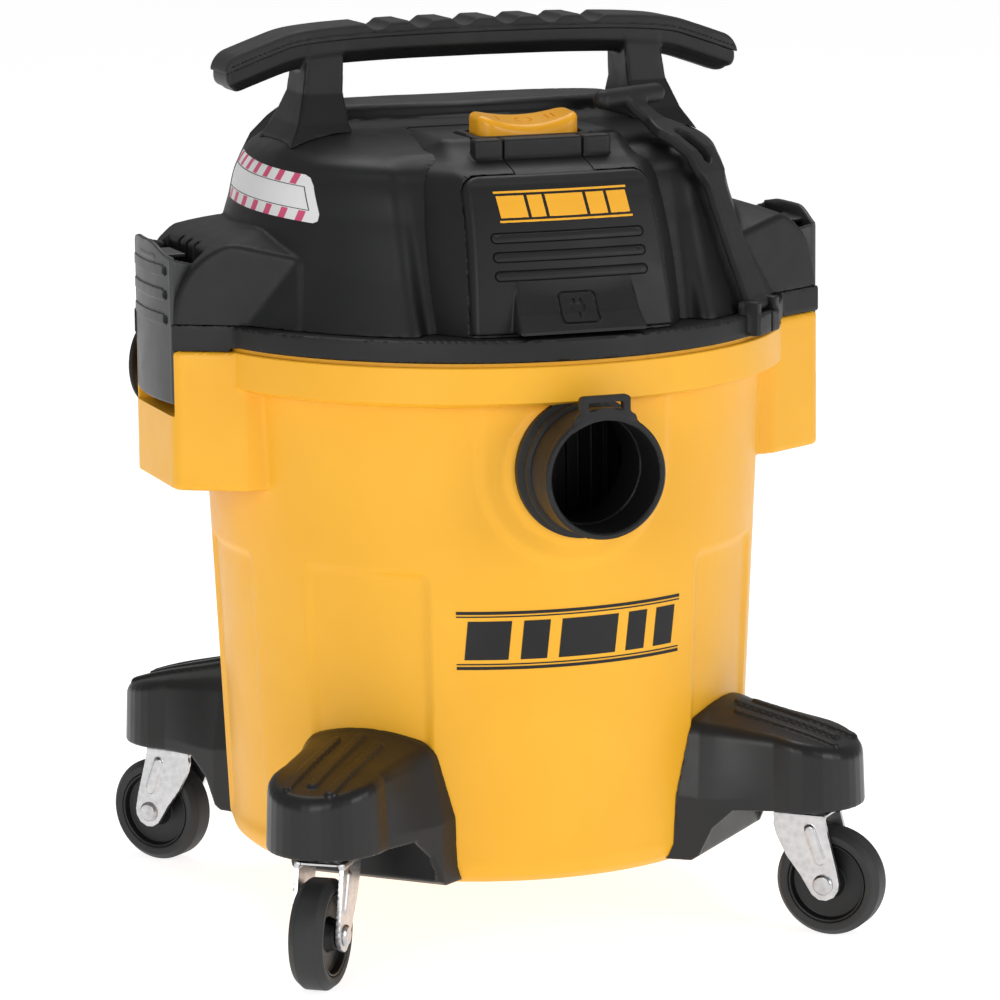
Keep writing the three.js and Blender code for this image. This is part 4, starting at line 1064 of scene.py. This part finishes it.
def deck_field(x, y, z):
    """The ring under the housing, with skirts over the latches' blocks and a lug for each strap."""
    rho, side = np.hypot(x, y), np.abs(x)
    plate = outline(rho, z, DECK_PROFILE)
    plan = outline(side, y, SKIRT_PLAN) - 0.4
    skirt = both(both(plan, slab(z, 329.1, 343.2), 1.2), 166 - rho)
    skirt = less(skirt, both(172 - side, np.abs(y) - 35.4), 0.4)
    skirt = less(skirt, both(rho - 169.5, z - 331.2))
    body = union(plate, skirt, 0.6)
    for turn in (-45, 135):
        a = math.radians(turn)
        u, v = x * math.cos(a) + y * math.sin(a), -x * math.sin(a) + y * math.cos(a)
        base = block(u, v, z, 161.5, 174.4, -14.6, 14.6, 332, 343.4, 1.4)
        ears = block(u, np.abs(v), z, 161.5, 173.6, 9.6, 15.8, 332, 350.6, 1.6)
        ears = both(ears, np.abs(v) - 15.4)
        hole = both(disc(u, z, 2.0, LUG_R, LUG_Z), np.abs(v) - 14.8)
        lug = less(union(base, ears, 0.8), hole)
        slit = block(u, v, z, 172.8, 180, 2.0, 4.4, 330, 342.4, 0.4)
        body = union(body, less(lug, slit, 0.3), 0.6)
    return body


# ---- Straps ----

STRAP_PATH = [(LUG_R, LUG_Z), (160.5, 362), (152.5, 382), (145, 402), (139.5, 418), (133, 429),
              (122.5, 436.5), (108, 443.5), (98, 451), (91.5, 458)]


def strap_shape(lift, tilt):
    """A strap along +X: a flat web with an eye over the shoulder, a barrel below and a T-bar on top."""
    route = [(r, z + lift * max(0.0, (135 - r) / 40)) for r, z in STRAP_PATH]
    end_x, end_z = route[-1]
    cos, sin = math.cos(math.radians(tilt)), math.sin(math.radians(tilt))

    def field(x, y, z):
        away, along = path_distance(x, z, route)
        half = 10.5 - 1.2 * smooth((along - 5) / 60)
        half = half + 6 * smooth((along - 66) / 12) * smooth((122 - along) / 14)
        half = half - 1.8 * smooth((along - 108) / 16)
        web = both(away - 2.8, np.abs(y) - half, 1.4)
        eye = both(np.abs(y) - 6.6, slab(along, 80, 106), 6.6)
        body = less(web, eye, 1.2)
        lengthwise = y * cos + (x - end_x) * sin
        across = (x - end_x) * cos - y * sin
        bar = np.hypot(np.hypot(across, z - end_z), np.maximum(np.abs(lengthwise) - 23, 0)) - 5.4
        pivot = disc(x, z, 0, LUG_R, LUG_Z)
        body = union(union(body, bar, 3.0), both(pivot - 3.9, np.abs(y) - 9, 0.8), 1.0)
        return less(body, pivot - 2.0)
    return mesh_of(field, (76, -34, 340), (174, 34, 480), 0.9)


# ---- Rear of the head, pegs and the inside ----

def blower_field(x, y, z):
    """The blower port: a stepped tube with short ribs round it."""
    rho, angle = np.hypot(x, z - BLOWER_Z), np.degrees(np.arctan2(x, z - BLOWER_Z))
    tube = outline(rho, y, [(30.2, 128), (33.6, 128), (33.6, 160.8), (36.6, 161.4), (36.6, 164.6),
                            (33.6, 165.2), (33, 188), (33.6, 189), (33.6, 194), (32.4, 195.5), (31, 195.5),
                            (30.2, 194.6)])
    ribs = both(np.abs((angle + 15) % 30 - 15) * rho / 57.3 - 1.0,
                both(slab(rho, 33, 34.8), slab(y, 165, 176)))
    return union(tube, ribs, 0.4)


PEG_Z = 294.6


def peg_shape():
    """A peg along +X for winding the cord on, with a round flange."""
    profile = rounded([(0.02, 147), (14, 147), (14, 161), (9, 165), (9, 207), (23.5, 209), (24.5, 210.4),
                       (23.6, 212), (0.02, 212)], 1.0, 3)
    points, faces = lathe(profile, 48)
    return points[:, [2, 1, 0]] * (1, -1, 1) + np.array([0, 0, PEG_Z]), faces


def deflector_field(x, y, z):
    """The ribbed shield behind the hose port."""
    rho = np.hypot(x, y)
    shield = both(slab(rho, 112, 115), slab(z, PORT_Z - 44, PORT_Z + 34), 0.8)
    ribs = both(np.abs((x + 4) % 8 - 4) - 0.9, both(slab(rho, 114, 117.4), slab(z, PORT_Z - 40, PORT_Z + 34)))
    roof = both(slab(rho, 112, 145.6), slab(z, PORT_Z + 34, PORT_Z + 37), 0.6)
    body = union(union(shield, ribs, 0.5), roof, 0.8)
    return both(body, both(np.abs(x) - 46, y + 92), 1.0)


FOLDS = 60


def pleated_sleeve():
    """A filter sleeve of folded paper."""
    inner, fold, deep, low, high = 61.0, 76.5, 7.4, 204.0, 308.0
    steps = FOLDS * 4
    angle = np.linspace(0, 2 * math.pi, steps, endpoint=False)
    wave = np.abs(((np.arange(steps) / 4) % 1) * 2 - 1)
    rings = [(inner, low, 0), (fold, low, deep), (fold, high, deep), (inner, high, 0)]
    points = np.stack([np.stack([np.cos(angle) * (r + d * wave), np.sin(angle) * (r + d * wave),
                                 np.full_like(angle, z)], -1) for r, z, d in rings], 1).reshape(-1, 3)
    return points, grid_faces(steps, len(rings), True, True)


# ---- The tower's label, and the head's pieces ----

def label_at(s, t):
    """A spot on the label as [angle, z]: s runs along it to the right and t upwards."""
    return -104 + 42.5 * s + 5 * (1 - t), 403.8 + 24.5 * t - 5.3 * s


def label_patch(s0, s1, t0, t1, lean, proud, count=(4, 6)):
    """A printed patch of the label, whose top is moved along by lean."""
    corners = [label_at(s0, t0), label_at(s1, t0), label_at(s1 + lean, t1), label_at(s0 + lean, t1)]
    return decal(tower, corners, proud, count)


def tower_label():
    """A pale label with slanted border stripes on the tower's left, without any text."""
    base = [label_patch(0, 0.94, 0, 1, 0, 0.3, (60, 30))]
    ends = [(0.94, 0), (0.975, 0.05), (0.995, 0.2)]
    for (s0, cut0), (s1, cut1) in zip(ends, ends[1:]):
        corners = [label_at(s0, cut0), label_at(s1, cut1), label_at(s1, 1 - cut1), label_at(s0, 1 - cut0)]
        base.append(decal(tower, corners, 0.3, (4, 30)))
    piece("tower_label_base", gathered(base), "head", LABEL, sharp=60)
    stripes = []
    for i in range(7):
        start = 0.135 * i
        for t0, t1 in ((0, 0.23), (0.77, 1)):
            stripes.append(label_patch(start, start + 0.052, t0, t1, 0.045, 0.42))
    piece("tower_label_stripes", gathered(stripes), "head", LABEL_PINK, sharp=60)
    lines = [label_patch(0, 0.93, t, t + 0.014, 0, 0.42, (60, 3)) for t in (0.25, 0.74)]
    lines.append(label_patch(0.925, 0.932, 0.25, 0.754, 0, 0.42, (3, 20)))
    piece("tower_label_outline", gathered(lines), "head", INK, sharp=60)


def moulding(name, field, low, high, step, body, look, replaced=None):
    """Meshes a field between two corners and adds it as a piece."""
    piece(name, mesh_of(field, low, high, step), body, look, [replaced] if replaced else ())


def head_pieces():
    moulding("motor_housing_shell", housing_field, (-190, -170, 343), (190, 164, 453), 1.8, "head", BLACK,
             "motor_housing")
    moulding("motor_housing_front", front_field, (-80, -162, 343), (80, -24, 446), 1.0, "head", BLACK,
             "motor_housing")
    tower_label()
    moulding("head_deck_shell", deck_field, (-192, -176, 311), (192, 176, 357), 1.7, "head", BLACK,
             "head_deck")
    moulding("socket_cover_leaf", cover_field, (-58, -167, 344), (58, -88, 445), 0.7, "socket_cover", BLACK,
             "socket_cover")
    leaf_bars()
    moulding("socket_cover_badge", badge_field, (-42, -146, 400), (42, -120, 420), 0.5, "socket_cover",
             GOLD_INK)
    moulding("switch_bezel_frame", bezel_field, (-37, SWITCH_Y - 20, 429), (37, SWITCH_Y + 20, 445), 0.8,
             "head", BLACK, "switch_bezel")
    moulding("rocker_switch_cap", rocker_field, (-31, SWITCH_Y - 16, 432), (31, SWITCH_Y + 16, 458), 0.5,
             "rocker_switch", SWITCH_YELLOW, "rocker_switch")
    moulding("power_socket_body", socket_field, (-26, -160, 356), (26, -96, 416), 0.9, "head", BLACK,
             "power_socket")
    moulding("handle_frame_shell", frame_field, (-153, -40, 424), (153, 40, 493), 1.1, "head", BLACK,
             "handle_frame")
    moulding("handle_grip_skin", grip_field, (-154, -18, 467), (154, 18, 501), 0.9, "head", GRIP,
             "handle_grip")
    for name, turn, lift, tilt in (("strap_right", -45, 0, 14), ("strap_left", 135, 9, -27)):
        piece(f"{name}_rubber", turned(strap_shape(lift, tilt), turn), name, STRAP, [name])
    latch = mesh_of(latch_field, (172, -36, 298), (194, 36, 388), 0.7)
    piece("latch_right_plate", latch, "latch_right", GREY, ["latch_right"])
    other = (latch[0] * (-1, 1, 1), latch[1][:, ::-1])
    piece("latch_left_plate", other, "latch_left", GREY, ["latch_left"])
    moulding("blower_port_tube", blower_field, (-38, 127, 343), (38, 197, 419), 1.0, "head", BLACK,
             "blower_port")


def inside_pieces():
    peg = peg_shape()
    for side, turn in (("left", 135), ("right", 45)):
        piece(f"cord_peg_{side}_moulding", turned(peg, turn), "root", BLACK,
              [f"cord_peg_{side}"])
    moulding("inlet_deflector_shell", deflector_field, (-48, -150, 226), (48, -90, 313), 0.95, "root", BLACK,
             "inlet_deflector")
    piece("filter_sleeve_pleats", pleated_sleeve(), "head", PAPER, ["filter_sleeve"], 20)
    looks = {"deck_seal": STRAP, "filter_cage": BLACK, "filter_cap": STRAP, "impeller_case": LAMINATE,
             "motor_stator": LAMINATE, "motor_armature": COPPER, "rotor_shaft": STEEL, "cooling_fan": BLACK,
             "impeller": LAMINATE, "float_ball": FLOAT, "exhaust_grille": BLACK, "cord_gland": STRAP,
             "cover_pin": STEEL, "latch_pin_left": STEEL, "latch_pin_right": STEEL, "strap_pin_left": STEEL,
             "strap_pin_right": STEEL}
    for name, material in looks.items():
        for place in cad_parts[name].material_slots:
            place.material = material


# ---- Stage, light and camera ----

FLOOR_HALF, FLOOR_CELLS = 40.0, 8
FLOOR_GLOW, WORLD_LIGHT = 0.83, 0.28


def look_at(obj, target, roll=0.0):
    way = Vector(target) - obj.location
    turn = way.to_track_quat("-Z", "Y").to_matrix() @ Matrix.Rotation(roll, 3, "Z")
    obj.rotation_euler = turn.to_euler()


def area_light(name, place, target, size, power):
    data = bpy.data.lights.new(name, "AREA")
    data.shape = "RECTANGLE"
    data.size, data.size_y = size
    data.energy = power
    lamp = bpy.data.objects.new(name, data)
    bpy.context.scene.collection.objects.link(lamp)
    lamp.location = place
    look_at(lamp, target)


def stage_and_lights():
    scene = bpy.context.scene
    scene.view_settings.view_transform = "Standard"
    world = bpy.data.worlds.new("studio")
    scene.world = world
    world.use_nodes = True
    world.node_tree.nodes["Background"].inputs["Color"].default_value = (1, 1, 1, 1)
    world.node_tree.nodes["Background"].inputs["Strength"].default_value = WORLD_LIGHT
    row = FLOOR_CELLS + 1
    grid = np.linspace(-FLOOR_HALF, FLOOR_HALF, row) / MM
    gx, gy = np.meshgrid(grid, grid, indexing="ij")
    points = np.stack([gx, gy, np.zeros_like(gx)], -1).reshape(-1, 3)
    floor = bpy.data.objects.new("floor", to_mesh("floor", points, grid_faces(row, row)))
    scene.collection.objects.link(floor)
    pale = moulded("pale_floor", (0.5, 0.5, 0.5), (0.52, 0.52, 0.52), (0.75, 0.85), 2.0, 0.01, 0.2,
                   mottle=2.0)
    glow = pale.node_tree.nodes["Principled BSDF"].inputs
    glow["Emission Color"].default_value = (1, 1, 1, 1)
    glow["Emission Strength"].default_value = FLOOR_GLOW
    floor.data.materials.append(pale)
    area_light("key", (-2.4, -2.6, 1.3), (0, 0, 0.25), (1.8, 1.8), 41)
    area_light("fill", (1.9, -2.7, 1.2), (0, 0, 0.22), (1.6, 1.6), 34)
    area_light("top", (0.2, 0.9, 2.6), (0, 0, 0.4), (2.2, 1.6), 34)


def camera():
    data = bpy.data.cameras.new("camera")
    data.lens = 178.6
    data.sensor_width = 36.0
    data.clip_end = 100
    cam = bpy.data.objects.new("camera", data)
    bpy.context.scene.collection.objects.link(cam)
    cam.location = (-0.9169, -2.5802, 0.7334)
    look_at(cam, (0.00952, -0.00342, 0.2276), math.radians(-0.59))
    bpy.context.scene.camera = cam


camera()
stage_and_lights()
drum_pieces()
feet_and_casters()
head_pieces()
inside_pieces()
